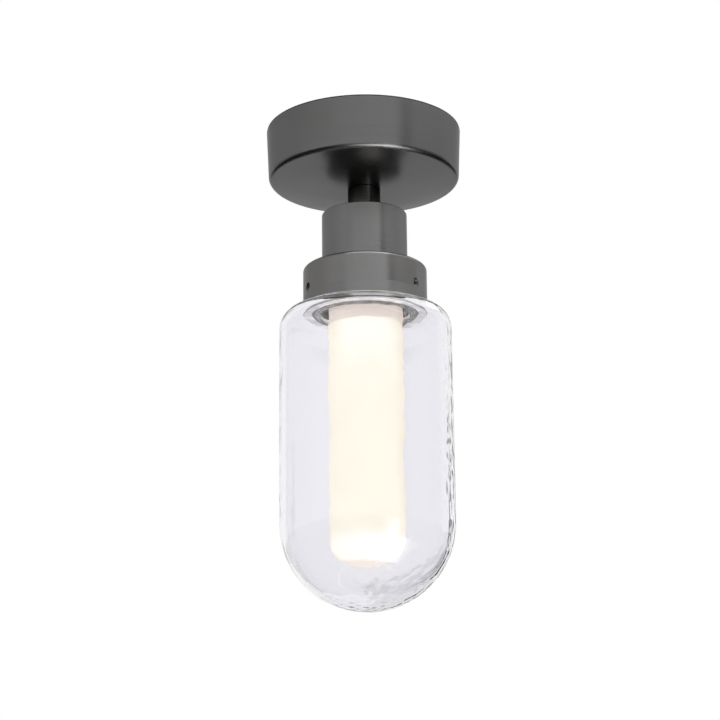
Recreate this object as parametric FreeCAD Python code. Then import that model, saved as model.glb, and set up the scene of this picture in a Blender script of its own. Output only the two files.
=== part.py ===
import FreeCAD, Part
import math
import os

from FreeCAD import Vector

# Ceiling light with one capsule glass, in millimetres.
# The ceiling is the plane Z = 0, the lamp hangs down along -Z, and the side that is usually seen faces -Y.
# Heights are worked out from the ceiling downwards, each piece from the one that carries it.

# ---------------------------------------------------------------- driving dimensions

# clearances
thread_clearance = 0.05
hole_clearance = 0.15
seat_gap = 0.15
moving_gap = 0.30

# ceiling gasket
gasket_thickness = 0.8
gasket_width = 2.0
gasket_inset = 0.2

# canopy, a spun shell with a slightly tapered side and a crowned underside
canopy_radius = 57.5
canopy_foot_radius = 56.2
canopy_side_depth = 30.9
canopy_crown_depth = 36.3
canopy_wall = 1.5
canopy_edge_fillet = 3.0
stem_seat_margin = 1.4

# mounting bracket
bracket_thickness = 2.0
bracket_hub_radius = 28.0
bracket_arm_width = 14.0
bracket_bend_radius = 1.2
lug_height = 14.0
lug_gap = 0.8
slot_spacing = 60.0
slot_length = 12.0
slot_width = 4.8

# canopy screws, M4 grub screws through the side of the canopy
canopy_screw_radius = 2.0
canopy_screw_length = 8.0
canopy_screw_depth = 9.0
canopy_screw_recess = 0.3
canopy_screw_key = 2.0

# cable bush
cable_bore_radius = 4.2
bush_spigot_radius = 7.0
bush_flange_radius = 9.0
bush_flange_thickness = 1.5

# terminal block
pole_count = 3
pole_pitch = 9.5
block_depth = 16.0
block_height = 12.0
block_offset = 12.0
insert_radius = 2.85
insert_bore_radius = 1.3
insert_recess = 1.5
clamp_screw_radius = 1.5
clamp_screw_inset = 4.0
clamp_screw_recess = 0.5
fixing_screw_radius = 1.25
fixing_head_radius = 2.1
fixing_head_height = 1.4

# earth terminal
earth_x = -17.0
earth_y = -12.0
earth_screw_radius = 2.0
earth_head_radius = 3.8
earth_head_height = 2.4
earth_tag_thickness = 0.8
earth_tag_radius = 3.6
earth_barrel_radius = 1.75
earth_barrel_length = 3.0
earth_barrel_gap = 0.6

# leads
lead_radius = 1.1
lead_pair_offset = 1.35
lead_bend_radius = 4.0
lead_tight_bend = 2.6
lead_strip_depth = 6.0

# threaded tubes, M10 x 1, with their nuts, washers and end bushes
nipple_radius = 5.0
nipple_bore_radius = 3.5
nipple_overrun = 0.8
nut_across_flats = 14.0
nut_height = 4.0
washer_radius = 9.0
washer_thickness = 1.0
bush_bore_radius = 2.95
bush_spigot_length = 3.0
bush_rim_thickness = 0.8
bush_rim_radius = 4.8

# stem sleeve between canopy and cup
stem_radius = 9.6
stem_length = 16.3
stem_edge_break = 0.3
stem_seal_radius = 7.1
stem_seal_width = 1.8
stem_seal_depth = 1.2

# cup
cup_radius = 25.0
cup_height = 33.4
cup_wall = 3.6
cup_top_thickness = 2.4
cup_edge_break = 0.4
boss_radius = 4.2
boss_rib_width = 5.0
boss_height = 24.0
cup_seal_width = 1.6
cup_seal_depth = 1.2

# collar
collar_radius = 36.1
collar_height = 24.4
collar_wall = 3.0
collar_top_thickness = 2.2
collar_edge_fillet = 2.0
collar_flare = 0.4
collar_flare_height = 7.0
collar_opening_radius = 11.0

# holder plate and diffuser carrier under the collar's top
holder_plate_thickness = 1.5
carrier_flange_thickness = 1.5
carrier_wall = 3.0
carrier_depth = 13.3
carrier_screw_radius = 1.5
carrier_screw_length = 12.0
carrier_head_radius = 2.75
carrier_head_height = 2.0
diffuser_seal_width = 2.0
diffuser_seal_thickness = 1.5
carrier_head_gap = 0.7

# lampholder
cap_gap = 1.25
cap_wall = 0.9
cap_top_thickness = 1.5
cap_height = 14.8
ceramic_spigot_length = 2.5
ceramic_length = 16.0
lamp_socket_length = 16.6
lamp_socket_width = 7.6
lamp_socket_depth = 6.0
pin_spacing = 9.0
pin_radius = 0.6
pin_length = 7.0
contact_thickness = 0.4
contact_width = 2.4
contact_length = 7.6
contact_grip = 0.1

# lamp with two pins
lamp_base_length = 15.6
lamp_base_width = 6.6
lamp_base_height = 10.7
capsule_radius = 7.2
capsule_length = 43.0
capsule_wall = 1.0
element_radius = 2.2
element_length = 32.0

# inner diffuser tube
diffuser_wall = 2.0
diffuser_length = 166.0
diffuser_corner = 12.0

# outer glass shade and its bonded neck ring
shade_radius = 50.0
shade_wall = 3.5
shade_shoulder = 11.7
shade_straight = 113.7
neck_wall = 2.9
neck_gap = 1.55
neck_height = 17.3
ferrule_wall = 1.2
ferrule_lip = 0.5
cement_thickness = 0.35
cement_inset = 0.9
shade_gasket_thickness = 0.7
shade_gasket_margin = 0.3

# shade screws, M5 grub screws
shade_screw_radius = 2.5
shade_screw_length = 4.0
shade_screw_recess = 1.15
shade_screw_height = 9.6
shade_screw_key = 2.5
first_screw_bearing = 54.0
shade_screw_count = 3

# ---------------------------------------------------------------- heights and radii that follow

canopy_top = -gasket_thickness
canopy_crown = -canopy_crown_depth
canopy_floor = canopy_crown + canopy_wall
stem_seat_radius = stem_radius + stem_seat_margin
gasket_outer_radius = canopy_radius - gasket_inset
gasket_inner_radius = gasket_outer_radius - gasket_width

bracket_underside = -bracket_thickness
lug_foot = -lug_height

earth_barrel_start = earth_y + earth_head_radius + earth_barrel_gap
earth_barrel_end = earth_barrel_start + earth_barrel_length
earth_barrel_axis = bracket_underside - earth_barrel_radius - earth_tag_thickness / 2

stem_top = canopy_crown
stem_foot = stem_top - stem_length
cup_top = stem_foot
cup_ceiling = cup_top - cup_top_thickness
cup_foot = cup_top - cup_height
cup_bore_radius = cup_radius - cup_wall
collar_top = cup_foot
collar_ceiling = collar_top - collar_top_thickness
collar_foot = collar_top - collar_height
collar_bore_radius = collar_radius - collar_wall
collar_foot_radius = collar_radius + collar_flare

shade_screw_outer = collar_radius - shade_screw_recess
shade_screw_tip = shade_screw_outer - shade_screw_length
ferrule_radius = shade_screw_tip - thread_clearance
ferrule_bore_radius = ferrule_radius - ferrule_wall
neck_radius = ferrule_bore_radius - cement_thickness
neck_bore_radius = neck_radius - neck_wall

holder_plate_foot = collar_ceiling - holder_plate_thickness
carrier_flange_foot = holder_plate_foot - carrier_flange_thickness
carrier_foot = holder_plate_foot - carrier_depth
carrier_radius = neck_bore_radius - neck_gap
carrier_bore_radius = carrier_radius - carrier_wall
diffuser_radius = carrier_bore_radius - moving_gap
diffuser_seal_foot = carrier_flange_foot - diffuser_seal_thickness
diffuser_seal_outer = carrier_bore_radius - thread_clearance
diffuser_seal_inner = diffuser_seal_outer - diffuser_seal_width
carrier_screw_circle = diffuser_seal_inner - carrier_head_gap - carrier_head_radius
diffuser_top = diffuser_seal_foot - moving_gap
diffuser_foot = diffuser_top - diffuser_length

cap_radius = carrier_screw_circle - carrier_head_radius - cap_gap
cap_top = carrier_flange_foot
cap_foot = cap_top - cap_height
ceramic_top = cap_foot + ceramic_spigot_length
ceramic_foot = cap_foot - ceramic_length
socket_floor = ceramic_foot + lamp_socket_depth
lamp_base_top = socket_floor - moving_gap
lamp_base_foot = lamp_base_top - lamp_base_height
pin_tip = lamp_base_top + pin_length
contact_foot = socket_floor + pin_radius
contact_top = contact_foot + contact_length
slot_top = contact_top + hole_clearance

shade_gasket_top = collar_foot - seat_gap
shade_top = shade_gasket_top - shade_gasket_thickness
shade_hemisphere = shade_top - shade_shoulder - shade_straight

shade_screw_axis = collar_foot + shade_screw_height
neck_top = shade_top + neck_height
ferrule_top = neck_top + ferrule_lip

nipple_hole_radius = nipple_radius + hole_clearance
stem_nipple_top = canopy_floor + washer_thickness + nut_height + nipple_overrun
stem_nipple_foot = cup_ceiling - washer_thickness - nut_height - nipple_overrun
holder_nipple_top = collar_ceiling + nut_height + nipple_overrun
holder_nipple_foot = cap_top - cap_top_thickness - nut_height / 2 - nipple_overrun

block_width = pole_count * pole_pitch
block_foot = bracket_underside - block_height
insert_axis = bracket_underside - block_height / 2
block_middle = block_offset + block_depth / 2
pole_x = [(index - (pole_count - 1) / 2) * pole_pitch for index in range(pole_count)]


# ---------------------------------------------------------------- shape helpers

def disc(radius, top, foot, x=0.0, y=0.0):
    """A cylinder that stands between two heights."""
    return Part.makeCylinder(radius, top - foot, Vector(x, y, foot))


def ring(outer, inner, top, foot, x=0.0, y=0.0):
    """A disc with a hole through its middle."""
    return disc(outer, top, foot, x, y).cut(disc(inner, top, foot, x, y))


def block(low, high):
    """A box between two corners."""
    size = [b - a for a, b in zip(low, high)]
    return Part.makeBox(*size, Vector(*low))


def hexagon(across_flats, height, origin, direction):
    """A hexagonal prism that starts at origin and runs along direction."""
    corner = across_flats / math.sqrt(3)
    points = [Vector(corner * math.cos(math.radians(60 * k)), corner * math.sin(math.radians(60 * k)), 0)
              for k in range(7)]
    prism = Part.Face(Part.makePolygon(points)).extrude(Vector(0, 0, height))
    prism.Placement = FreeCAD.Placement(origin, FreeCAD.Rotation(Vector(0, 0, 1), direction))
    return prism


def slot(length, width, top, foot, x):
    """A slot along X, round at both ends, centred on (x, 0)."""
    half = (length - width) / 2
    ends = [disc(width / 2, top, foot, x + side * half) for side in (-1, 1)]
    middle = block((x - half, -width / 2, foot), (x + half, width / 2, top))
    return middle.fuse(ends).removeSplitter()


def turned(start, *steps):
    """A solid of revolution about Z. A step is an (r, z) point, or a pair of them: on the arc, and its end."""
    edges = []
    here = Vector(start[0], 0, start[1])
    for step in steps + (start,):
        if isinstance(step[0], tuple):
            middle, end = (Vector(r, 0, z) for r, z in step)
            edges.append(Part.Arc(here, middle, end).toShape())
        else:
            end = Vector(step[0], 0, step[1])
            edges.append(Part.LineSegment(here, end).toShape())
        here = end
    return Part.Face(Part.Wire(edges)).revolve(Vector(0, 0, 0), Vector(0, 0, 1), 360)


def on_arc(r, z, radius, degrees):
    """The (r, z) point on a circle, at an angle from the outward direction."""
    return r + radius * math.cos(math.radians(degrees)), z + radius * math.sin(math.radians(degrees))


def circle_edges(shape, radius, z):
    """The level round edges of a shape with one radius and height."""
    found = []
    for edge in shape.Edges:
        curve = edge.Curve
        if isinstance(curve, Part.Circle) and abs(curve.Radius - radius) < 0.01 and abs(curve.Center.z - z) < 0.01:
            found.append(edge)
    return found


def bearing(degrees):
    """The level direction at an angle from the side that is seen, turning towards +X."""
    return Vector(math.sin(math.radians(degrees)), -math.cos(math.radians(degrees)), 0)


def radial(radius, inner, outer, z, direction):
    """A cylinder along a level direction, between two distances from the axis."""
    return Part.makeCylinder(radius, outer - inner, direction * inner + Vector(0, 0, z), direction)


def grub_screw(radius, inner, outer, key, z, direction):
    """A headless screw with a coned tip and a hexagonal key hole in its outer end."""
    length = outer - inner
    tip = radius * 0.35
    start = direction * inner + Vector(0, 0, z)
    cone = Part.makeCone(radius - tip, radius, tip, start, direction)
    shank = Part.makeCylinder(radius, length - tip, start + direction * tip, direction)
    socket = hexagon(key, length * 0.4, direction * (outer - length * 0.4) + Vector(0, 0, z), direction)
    return cone.fuse(shank).removeSplitter().cut(socket)


def lead(points, bends):
    """An insulated wire along straight runs, joined by tangent arcs of the given radii."""
    path = [Vector(*point) for point in points]
    edges = []
    here = path[0]
    run_length = 0.0
    for before, corner, after, bend in zip(path, path[1:], path[2:], bends):
        incoming = (corner - before).normalize()
        outgoing = (after - corner).normalize()
        turn = incoming.getAngle(outgoing)
        reach = bend * math.tan(turn / 2)
        start = corner - incoming * reach
        end = corner + outgoing * reach
        inward = (outgoing - incoming).normalize()
        middle = corner + inward * (bend / math.cos(turn / 2) - bend)
        edges.append(Part.LineSegment(here, start).toShape())
        edges.append(Part.Arc(start, middle, end).toShape())
        run_length += (start - here).Length + bend * turn
        here = end
    edges.append(Part.LineSegment(here, path[-1]).toShape())
    run_length += (path[-1] - here).Length
    spine = Part.Wire(edges)
    section = Part.Wire([Part.makeCircle(lead_radius, path[0], path[1] - path[0])])
    tube = spine.makePipeShell([section], True, False)
    expected = math.pi * lead_radius ** 2 * run_length
    print("lead volume against section times length: %.4f" % (tube.Volume / expected))
    return tube


def canopy_radius_at(z):
    """The outer radius of the canopy's tapered side."""
    share = (canopy_top - z) / (canopy_side_depth + canopy_top)
    return canopy_radius + (canopy_foot_radius - canopy_radius) * share


# ---------------------------------------------------------------- ceiling side

def ceiling_gasket():
    return ring(gasket_outer_radius, gasket_inner_radius, 0, canopy_top)


def lug_face():
    """How far the outer face of a bracket lug lies from the axis."""
    room = min(canopy_radius_at(lug_foot) - canopy_wall, gasket_inner_radius)
    return math.sqrt((room - lug_gap) ** 2 - (bracket_arm_width / 2) ** 2)


def mounting_bracket():
    face = lug_face()
    half = bracket_arm_width / 2
    plate = disc(bracket_hub_radius, 0, bracket_underside)
    arms = block((-face, -half, bracket_underside), (face, half, 0))
    lugs = []
    for low, high in ((-face, bracket_thickness - face), (face - bracket_thickness, face)):
        lugs.append(block((low, -half, lug_foot), (high, half, 0)))
    body = plate.fuse([arms] + lugs).removeSplitter()
    outer_bends = []
    for edge in body.Edges:
        middle = edge.BoundBox.Center
        if abs(abs(middle.x) - face) < 0.01 and abs(middle.z) < 0.01 and edge.Length > half:
            outer_bends.append(edge)
    body = body.makeFillet(bracket_bend_radius, outer_bends)
    cuts = [disc(bush_spigot_radius + thread_clearance, 0, bracket_underside)]
    for side in (-1, 1):
        cuts.append(slot(slot_length, slot_width, 0, bracket_underside, side * slot_spacing / 2))
        cuts.append(radial(canopy_screw_radius + thread_clearance, 0, canopy_radius,
                           -canopy_screw_depth, Vector(side, 0, 0)))
        cuts.append(disc(fixing_screw_radius + thread_clearance, 0, bracket_underside,
                         side * pole_pitch / 2, block_middle))
    cuts.append(disc(earth_screw_radius + thread_clearance, 0, bracket_underside, earth_x, earth_y))
    return body.cut(cuts)


def cable_bush():
    spigot = disc(bush_spigot_radius, 0, bracket_underside)
    flange = disc(bush_flange_radius, bracket_underside, bracket_underside - bush_flange_thickness)
    bore = disc(cable_bore_radius, 0, bracket_underside - bush_flange_thickness)
    return spigot.fuse(flange).cut(bore)


def terminal_block():
    body = block((-block_width / 2, block_offset, block_foot),
                 (block_width / 2, block_offset + block_depth, bracket_underside))
    cuts = []
    for x in pole_x:
        cuts.append(along_y(insert_radius + thread_clearance, x, block_offset, block_offset + block_depth))
        for y in clamp_screw_places():
            cuts.append(disc(clamp_screw_radius + hole_clearance, insert_axis, block_foot, x, y))
    for side in (-1, 1):
        cuts.append(disc(fixing_screw_radius + hole_clearance, bracket_underside, block_foot,
                         side * pole_pitch / 2, block_middle))
    return body.cut(cuts)


def along_y(radius, x, start, end):
    """A cylinder along Y at the height of the terminal inserts."""
    return Part.makeCylinder(radius, end - start, Vector(x, start, insert_axis), Vector(0, 1, 0))


def clamp_screw_places():
    return block_offset + clamp_screw_inset, block_offset + block_depth - clamp_screw_inset


def terminal_inserts():
    inserts = []
    for x in pole_x:
        start = block_offset + insert_recess
        end = block_offset + block_depth - insert_recess
        insert = along_y(insert_radius, x, start, end)
        cuts = [along_y(insert_bore_radius, x, start, end)]
        for y in clamp_screw_places():
            cuts.append(disc(clamp_screw_radius + thread_clearance, insert_axis, block_foot, x, y))
        inserts.append(insert.cut(cuts))
    return Part.makeCompound(inserts)


def terminal_clamp_screws():
    screws = []
    top = insert_axis - lead_radius - hole_clearance
    foot = block_foot + clamp_screw_recess
    for x in pole_x:
        for y in clamp_screw_places():
            driver_slot = block((x - clamp_screw_radius, y - 0.25, foot), (x + clamp_screw_radius, y + 0.25, foot + 0.8))
            screws.append(disc(clamp_screw_radius, top, foot, x, y).cut(driver_slot))
    return Part.makeCompound(screws)


def pan_head_screw(radius, head_radius, head_height, seat, length, x, y):
    """A screw whose head hangs under its seat, with a cross recess in the head."""
    shank = disc(radius, seat + length, seat, x, y)
    head = disc(head_radius, seat, seat - head_height, x, y)
    head = head.makeFillet(head_height * 0.4, circle_edges(head, head_radius, seat - head_height))
    arm = head_radius * 0.55
    half = head_radius * 0.12
    foot = seat - head_height
    recess_top = foot + head_height * 0.5
    cross = [block((x - arm, y - half, foot), (x + arm, y + half, recess_top)),
             block((x - half, y - arm, foot), (x + half, y + arm, recess_top))]
    return shank.fuse(head).removeSplitter().cut(cross)


def terminal_fixing_screws():
    length = block_height + bracket_thickness - hole_clearance
    screws = [pan_head_screw(fixing_screw_radius, fixing_head_radius, fixing_head_height, block_foot, length,
                             side * pole_pitch / 2, block_middle) for side in (-1, 1)]
    return Part.makeCompound(screws)


def earth_tag():
    top = bracket_underside
    foot = top - earth_tag_thickness
    eye = disc(earth_tag_radius, top, foot, earth_x, earth_y)
    tongue = block((earth_x - earth_barrel_radius, earth_y, foot),
                   (earth_x + earth_barrel_radius, earth_barrel_end, top))
    start = Vector(earth_x, earth_barrel_start, earth_barrel_axis)
    barrel = Part.makeCylinder(earth_barrel_radius, earth_barrel_length, start, Vector(0, 1, 0))
    bore = Part.makeCylinder(lead_radius + thread_clearance, earth_barrel_length, start, Vector(0, 1, 0))
    hole = disc(earth_screw_radius + hole_clearance, top, foot, earth_x, earth_y)
    return eye.fuse([tongue, barrel]).removeSplitter().cut([bore, hole])


def earth_screw():
    seat = bracket_underside - earth_tag_thickness
    length = earth_tag_thickness + bracket_thickness - hole_clearance
    return pan_head_screw(earth_screw_radius, earth_head_radius, earth_head_height, seat, length, earth_x, earth_y)


def earth_lead():
    points = [(pole_x[0], block_offset + lead_strip_depth, insert_axis),
              (pole_x[0], block_offset - lead_strip_depth, insert_axis),
              (earth_x, block_offset - 2 * lead_strip_depth, earth_barrel_axis),
              (earth_x, earth_barrel_start, earth_barrel_axis)]
    return lead(points, [lead_bend_radius, lead_tight_bend])


def canopy_form(inset, top, fillet):
    """The canopy's outline, drawn in by an inset, as a solid: side, rounded edge, crown and flat stem seat."""
    foot_radius = canopy_foot_radius - inset
    edge_z = inset - canopy_side_depth
    flat_z = canopy_crown + inset
    reach = foot_radius - stem_seat_radius
    sag = edge_z - flat_z
    arc_radius = (reach ** 2 + sag ** 2) / (2 * sag)
    half_turn = math.degrees(math.asin(reach / arc_radius)) / 2
    middle = on_arc(stem_seat_radius, flat_z + arc_radius, arc_radius, half_turn - 90)
    solid = turned((0, top), (canopy_radius - inset, top), (foot_radius, edge_z),
                   (middle, (stem_seat_radius, flat_z)), (0, flat_z))
    return solid.makeFillet(fillet, circle_edges(solid, foot_radius, edge_z))


def canopy():
    skin = canopy_form(0.0, canopy_top, canopy_edge_fillet)
    inner_fillet = max(canopy_edge_fillet - canopy_wall, canopy_wall / 3)
    hollow = canopy_form(canopy_wall, canopy_top + canopy_wall, inner_fillet)
    cuts = [hollow, disc(nipple_hole_radius, canopy_floor, canopy_crown)]
    wall_radius = canopy_radius_at(-canopy_screw_depth)
    for side in (-1, 1):
        cuts.append(radial(canopy_screw_radius + hole_clearance, wall_radius - 2 * canopy_wall,
                           wall_radius + canopy_wall, -canopy_screw_depth, Vector(side, 0, 0)))
    return skin.cut(cuts)


def canopy_screws():
    outer = canopy_radius_at(-canopy_screw_depth) - canopy_screw_recess
    screws = [grub_screw(canopy_screw_radius, outer - canopy_screw_length, outer, canopy_screw_key,
                         -canopy_screw_depth, Vector(side, 0, 0)) for side in (-1, 1)]
    return Part.makeCompound(screws)


# ---------------------------------------------------------------- stem and cup

def hex_nut(top, foot):
    body = hexagon(nut_across_flats, top - foot, Vector(0, 0, foot), Vector(0, 0, 1))
    return body.cut(disc(nipple_radius + thread_clearance, top, foot))


def nipple(top, foot):
    return ring(nipple_radius, nipple_bore_radius, top, foot)


def stem_nipple():
    return nipple(stem_nipple_top, stem_nipple_foot)


def upper_lock_washer():
    return ring(washer_radius, nipple_hole_radius, canopy_floor + washer_thickness, canopy_floor)


def upper_nut():
    seat = canopy_floor + washer_thickness
    return hex_nut(seat + nut_height, seat)


def seal_groove(top, foot):
    return ring(stem_seal_radius + stem_seal_width / 2, stem_seal_radius - stem_seal_width / 2, top, foot)


def stem_sleeve():
    body = ring(stem_radius, nipple_hole_radius, stem_top, stem_foot)
    rims = circle_edges(body, stem_radius, stem_top) + circle_edges(body, stem_radius, stem_foot)
    body = body.makeChamfer(stem_edge_break, rims)
    grooves = [seal_groove(stem_top, stem_top - stem_seal_depth), seal_groove(stem_foot + stem_seal_depth, stem_foot)]
    return body.cut(grooves)


def stem_seals():
    outer = stem_seal_radius + stem_seal_width / 2 - thread_clearance
    inner = stem_seal_radius - stem_seal_width / 2 + thread_clearance
    upper = ring(outer, inner, stem_top, stem_top - stem_seal_depth)
    lower = ring(outer, inner, stem_foot + stem_seal_depth, stem_foot)
    return Part.makeCompound([upper, lower])


def carrier_screw_places():
    """Where the three long screws stand: one at the back and two in front."""
    angles = [math.radians(90 + 120 * k) for k in range(3)]
    return [(carrier_screw_circle * math.cos(a), carrier_screw_circle * math.sin(a)) for a in angles]


def cup():
    shell = disc(cup_radius, cup_top, cup_foot)
    shell = shell.makeFillet(cup_edge_break, circle_edges(shell, cup_radius, cup_top))
    shell = shell.cut(disc(cup_bore_radius, cup_ceiling, cup_foot))
    boss_top = cup_foot + boss_height
    bosses = []
    cuts = [disc(nipple_hole_radius, cup_top, cup_ceiling)]
    screw_tip = carrier_flange_foot + carrier_screw_length
    for index, (x, y) in enumerate(carrier_screw_places()):
        bosses.append(disc(boss_radius, boss_top, cup_foot, x, y))
        rib = block((carrier_screw_circle, -boss_rib_width / 2, cup_foot),
                    (cup_bore_radius + cup_wall / 2, boss_rib_width / 2, boss_top))
        rib.rotate(Vector(0, 0, 0), Vector(0, 0, 1), 90 + 120 * index)
        bosses.append(rib)
        cuts.append(disc(carrier_screw_radius + thread_clearance, screw_tip + 1.0, cup_foot, x, y))
    groove_middle = cup_radius - cup_wall / 2
    cuts.append(ring(groove_middle + cup_seal_width / 2, groove_middle - cup_seal_width / 2,
                     cup_foot + cup_seal_depth, cup_foot))
    return shell.fuse(bosses).removeSplitter().cut(cuts)


def cup_seal():
    middle = cup_radius - cup_wall / 2
    half = cup_seal_width / 2 - thread_clearance
    return ring(middle + half, middle - half, cup_foot + cup_seal_depth, cup_foot)


def lower_washer():
    return ring(washer_radius, nipple_hole_radius, cup_ceiling, cup_ceiling - washer_thickness)


def lower_nut():
    seat = cup_ceiling - washer_thickness
    return hex_nut(seat, seat - nut_height)


def end_bush(end, outward):
    """A plastic bush that lines one end of a threaded tube; outward is +1 at a top end and -1 at a foot."""
    rim = sorted((end, end + outward * bush_rim_thickness))
    spigot = sorted((end, end - outward * bush_spigot_length))
    body = disc(bush_rim_radius, rim[1], rim[0])
    body = body.fuse(disc(nipple_bore_radius - thread_clearance, spigot[1], spigot[0]))
    return body.cut(disc(bush_bore_radius, max(rim[1], spigot[1]), min(rim[0], spigot[0])))


def nipple_bushes():
    return Part.makeCompound([end_bush(stem_nipple_top, 1), end_bush(stem_nipple_foot, -1),
                              end_bush(holder_nipple_top, 1), end_bush(holder_nipple_foot, -1)])


# ---------------------------------------------------------------- collar and what hangs in it

def shade_screw_bearings():
    return [first_screw_bearing + 360.0 / shade_screw_count * k for k in range(shade_screw_count)]


def collar():
    flare_start = collar_foot + collar_flare_height
    body = turned((0, collar_top), (collar_radius, collar_top), (collar_radius, flare_start),
                  (collar_foot_radius, collar_foot), (0, collar_foot))
    body = body.makeFillet(collar_edge_fillet, circle_edges(body, collar_radius, collar_top))
    cuts = [disc(collar_bore_radius, collar_ceiling, collar_foot),
            disc(collar_opening_radius, collar_top, collar_ceiling)]
    for x, y in carrier_screw_places():
        cuts.append(disc(carrier_screw_radius + hole_clearance, collar_top, collar_ceiling, x, y))
    for angle in shade_screw_bearings():
        cuts.append(radial(shade_screw_radius + thread_clearance, collar_bore_radius - 1.0,
                           collar_foot_radius + 1.0, shade_screw_axis, bearing(angle)))
    return body.cut(cuts)


def holder_plate():
    plate = ring(collar_bore_radius - moving_gap, nipple_hole_radius, collar_ceiling, holder_plate_foot)
    holes = [disc(carrier_screw_radius + hole_clearance, collar_ceiling, holder_plate_foot, x, y)
             for x, y in carrier_screw_places()]
    return plate.cut(holes)


def diffuser_carrier():
    flange = ring(carrier_radius, nipple_hole_radius, holder_plate_foot, carrier_flange_foot)
    skirt = ring(carrier_radius, carrier_bore_radius, carrier_flange_foot, carrier_foot)
    holes = [disc(carrier_screw_radius + hole_clearance, holder_plate_foot, carrier_flange_foot, x, y)
             for x, y in carrier_screw_places()]
    return flange.fuse(skirt).removeSplitter().cut(holes)


def carrier_screws():
    screws = [pan_head_screw(carrier_screw_radius, carrier_head_radius, carrier_head_height,
                             carrier_flange_foot, carrier_screw_length, x, y) for x, y in carrier_screw_places()]
    return Part.makeCompound(screws)


def diffuser_seal():
    return ring(diffuser_seal_outer, diffuser_seal_inner, carrier_flange_foot, diffuser_seal_foot)


def lampholder_nipple():
    return nipple(holder_nipple_top, holder_nipple_foot)


def lampholder_nut():
    return hex_nut(collar_ceiling + nut_height, collar_ceiling)


def lampholder_cap():
    body = disc(cap_radius, cap_top, cap_foot)
    hollow = disc(cap_radius - cap_wall, cap_top - cap_top_thickness, cap_foot)
    thread_boss = disc(nipple_radius + cap_top_thickness, cap_top, cap_top - cap_top_thickness - nut_height / 2)
    bore = disc(nipple_radius + thread_clearance, cap_top, cap_top - cap_top_thickness - nut_height / 2)
    return body.cut(hollow).fuse(thread_boss).removeSplitter().cut(bore)


def lampholder_body():
    spigot = disc(cap_radius - cap_wall - thread_clearance, ceramic_top, cap_foot)
    body = spigot.fuse(disc(cap_radius, cap_foot, ceramic_foot)).removeSplitter()
    half_x = lamp_socket_length / 2
    half_y = lamp_socket_width / 2
    cuts = [block((-half_x, -half_y, ceramic_foot), (half_x, half_y, socket_floor))]
    slot_half_x = contact_width / 2 + hole_clearance
    slot_half_y = pin_radius + contact_grip + contact_thickness + hole_clearance
    for side in (-1, 1):
        x = side * pin_spacing / 2
        cuts.append(block((x - slot_half_x, -slot_half_y, socket_floor), (x + slot_half_x, slot_half_y, slot_top)))
        cuts.append(disc(lead_radius + hole_clearance, ceramic_top, slot_top, x))
    return body.cut(cuts)


def lampholder_contacts():
    contacts = []
    inner = pin_radius + contact_grip
    outer = inner + contact_thickness
    for side in (-1, 1):
        x = side * pin_spacing / 2
        low_x = x - contact_width / 2
        high_x = x + contact_width / 2
        clip = block((low_x, -outer, contact_foot), (high_x, outer, contact_top))
        mouth = block((low_x, -inner, contact_foot), (high_x, inner, contact_top - contact_thickness))
        contacts.append(clip.cut(mouth))
    return Part.makeCompound(contacts)


def lamp_lead(side, pole):
    """A lead from a lampholder contact, up both threaded tubes, to its pole of the terminal block."""
    holder_x = side * pin_spacing / 2
    tube_x = side * lead_pair_offset
    turn_top = holder_nipple_foot - bush_rim_thickness - lead_tight_bend / 2
    turn_foot = ceramic_top + lead_tight_bend / 2
    points = [(holder_x, 0, contact_top), (holder_x, 0, turn_foot), (tube_x, 0, turn_top),
              (tube_x, 0, stem_nipple_top + block_height), (pole_x[pole], block_offset - lead_bend_radius, insert_axis),
              (pole_x[pole], block_offset + lead_strip_depth, insert_axis)]
    return lead(points, [lead_tight_bend, lead_tight_bend, lead_bend_radius, lead_bend_radius])


def neutral_lead():
    return lamp_lead(-1, 1)


def live_lead():
    return lamp_lead(1, 2)


# ---------------------------------------------------------------- lamp

def oblong(length, width, top, foot):
    """A prism with two round ends, standing along X."""
    return slot(length, width, top, foot, 0.0)


def lamp_base():
    return oblong(lamp_base_length, lamp_base_width, lamp_base_top, lamp_base_foot)


def lamp_pins():
    pins = []
    for side in (-1, 1):
        pin = disc(pin_radius, pin_tip, lamp_base_top, side * pin_spacing / 2)
        pins.append(pin.makeChamfer(pin_radius / 3, circle_edges(pin, pin_radius, pin_tip)))
    return Part.makeCompound(pins)


def lamp_capsule():
    centre = lamp_base_foot - capsule_length + capsule_radius
    inner = capsule_radius - capsule_wall
    return turned((inner, lamp_base_foot), (capsule_radius, lamp_base_foot), (capsule_radius, centre),
                  (on_arc(0, centre, capsule_radius, -45), (0, centre - capsule_radius)), (0, centre - inner),
                  (on_arc(0, centre, inner, -45), (inner, centre)))


def lamp_element():
    return disc(element_radius, lamp_base_foot, lamp_base_foot - element_length)


# ---------------------------------------------------------------- glasses

def diffuser_tube():
    inner = diffuser_radius - diffuser_wall
    corner_r = diffuser_radius - diffuser_corner
    corner_z = diffuser_foot + diffuser_corner
    inner_corner = diffuser_corner - diffuser_wall
    return turned((inner, diffuser_top), (diffuser_radius, diffuser_top), (diffuser_radius, corner_z),
                  (on_arc(corner_r, corner_z, diffuser_corner, -45), (corner_r, diffuser_foot)), (0, diffuser_foot),
                  (0, diffuser_foot + diffuser_wall), (corner_r, diffuser_foot + diffuser_wall),
                  (on_arc(corner_r, corner_z, inner_corner, -45), (inner, corner_z)))


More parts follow.
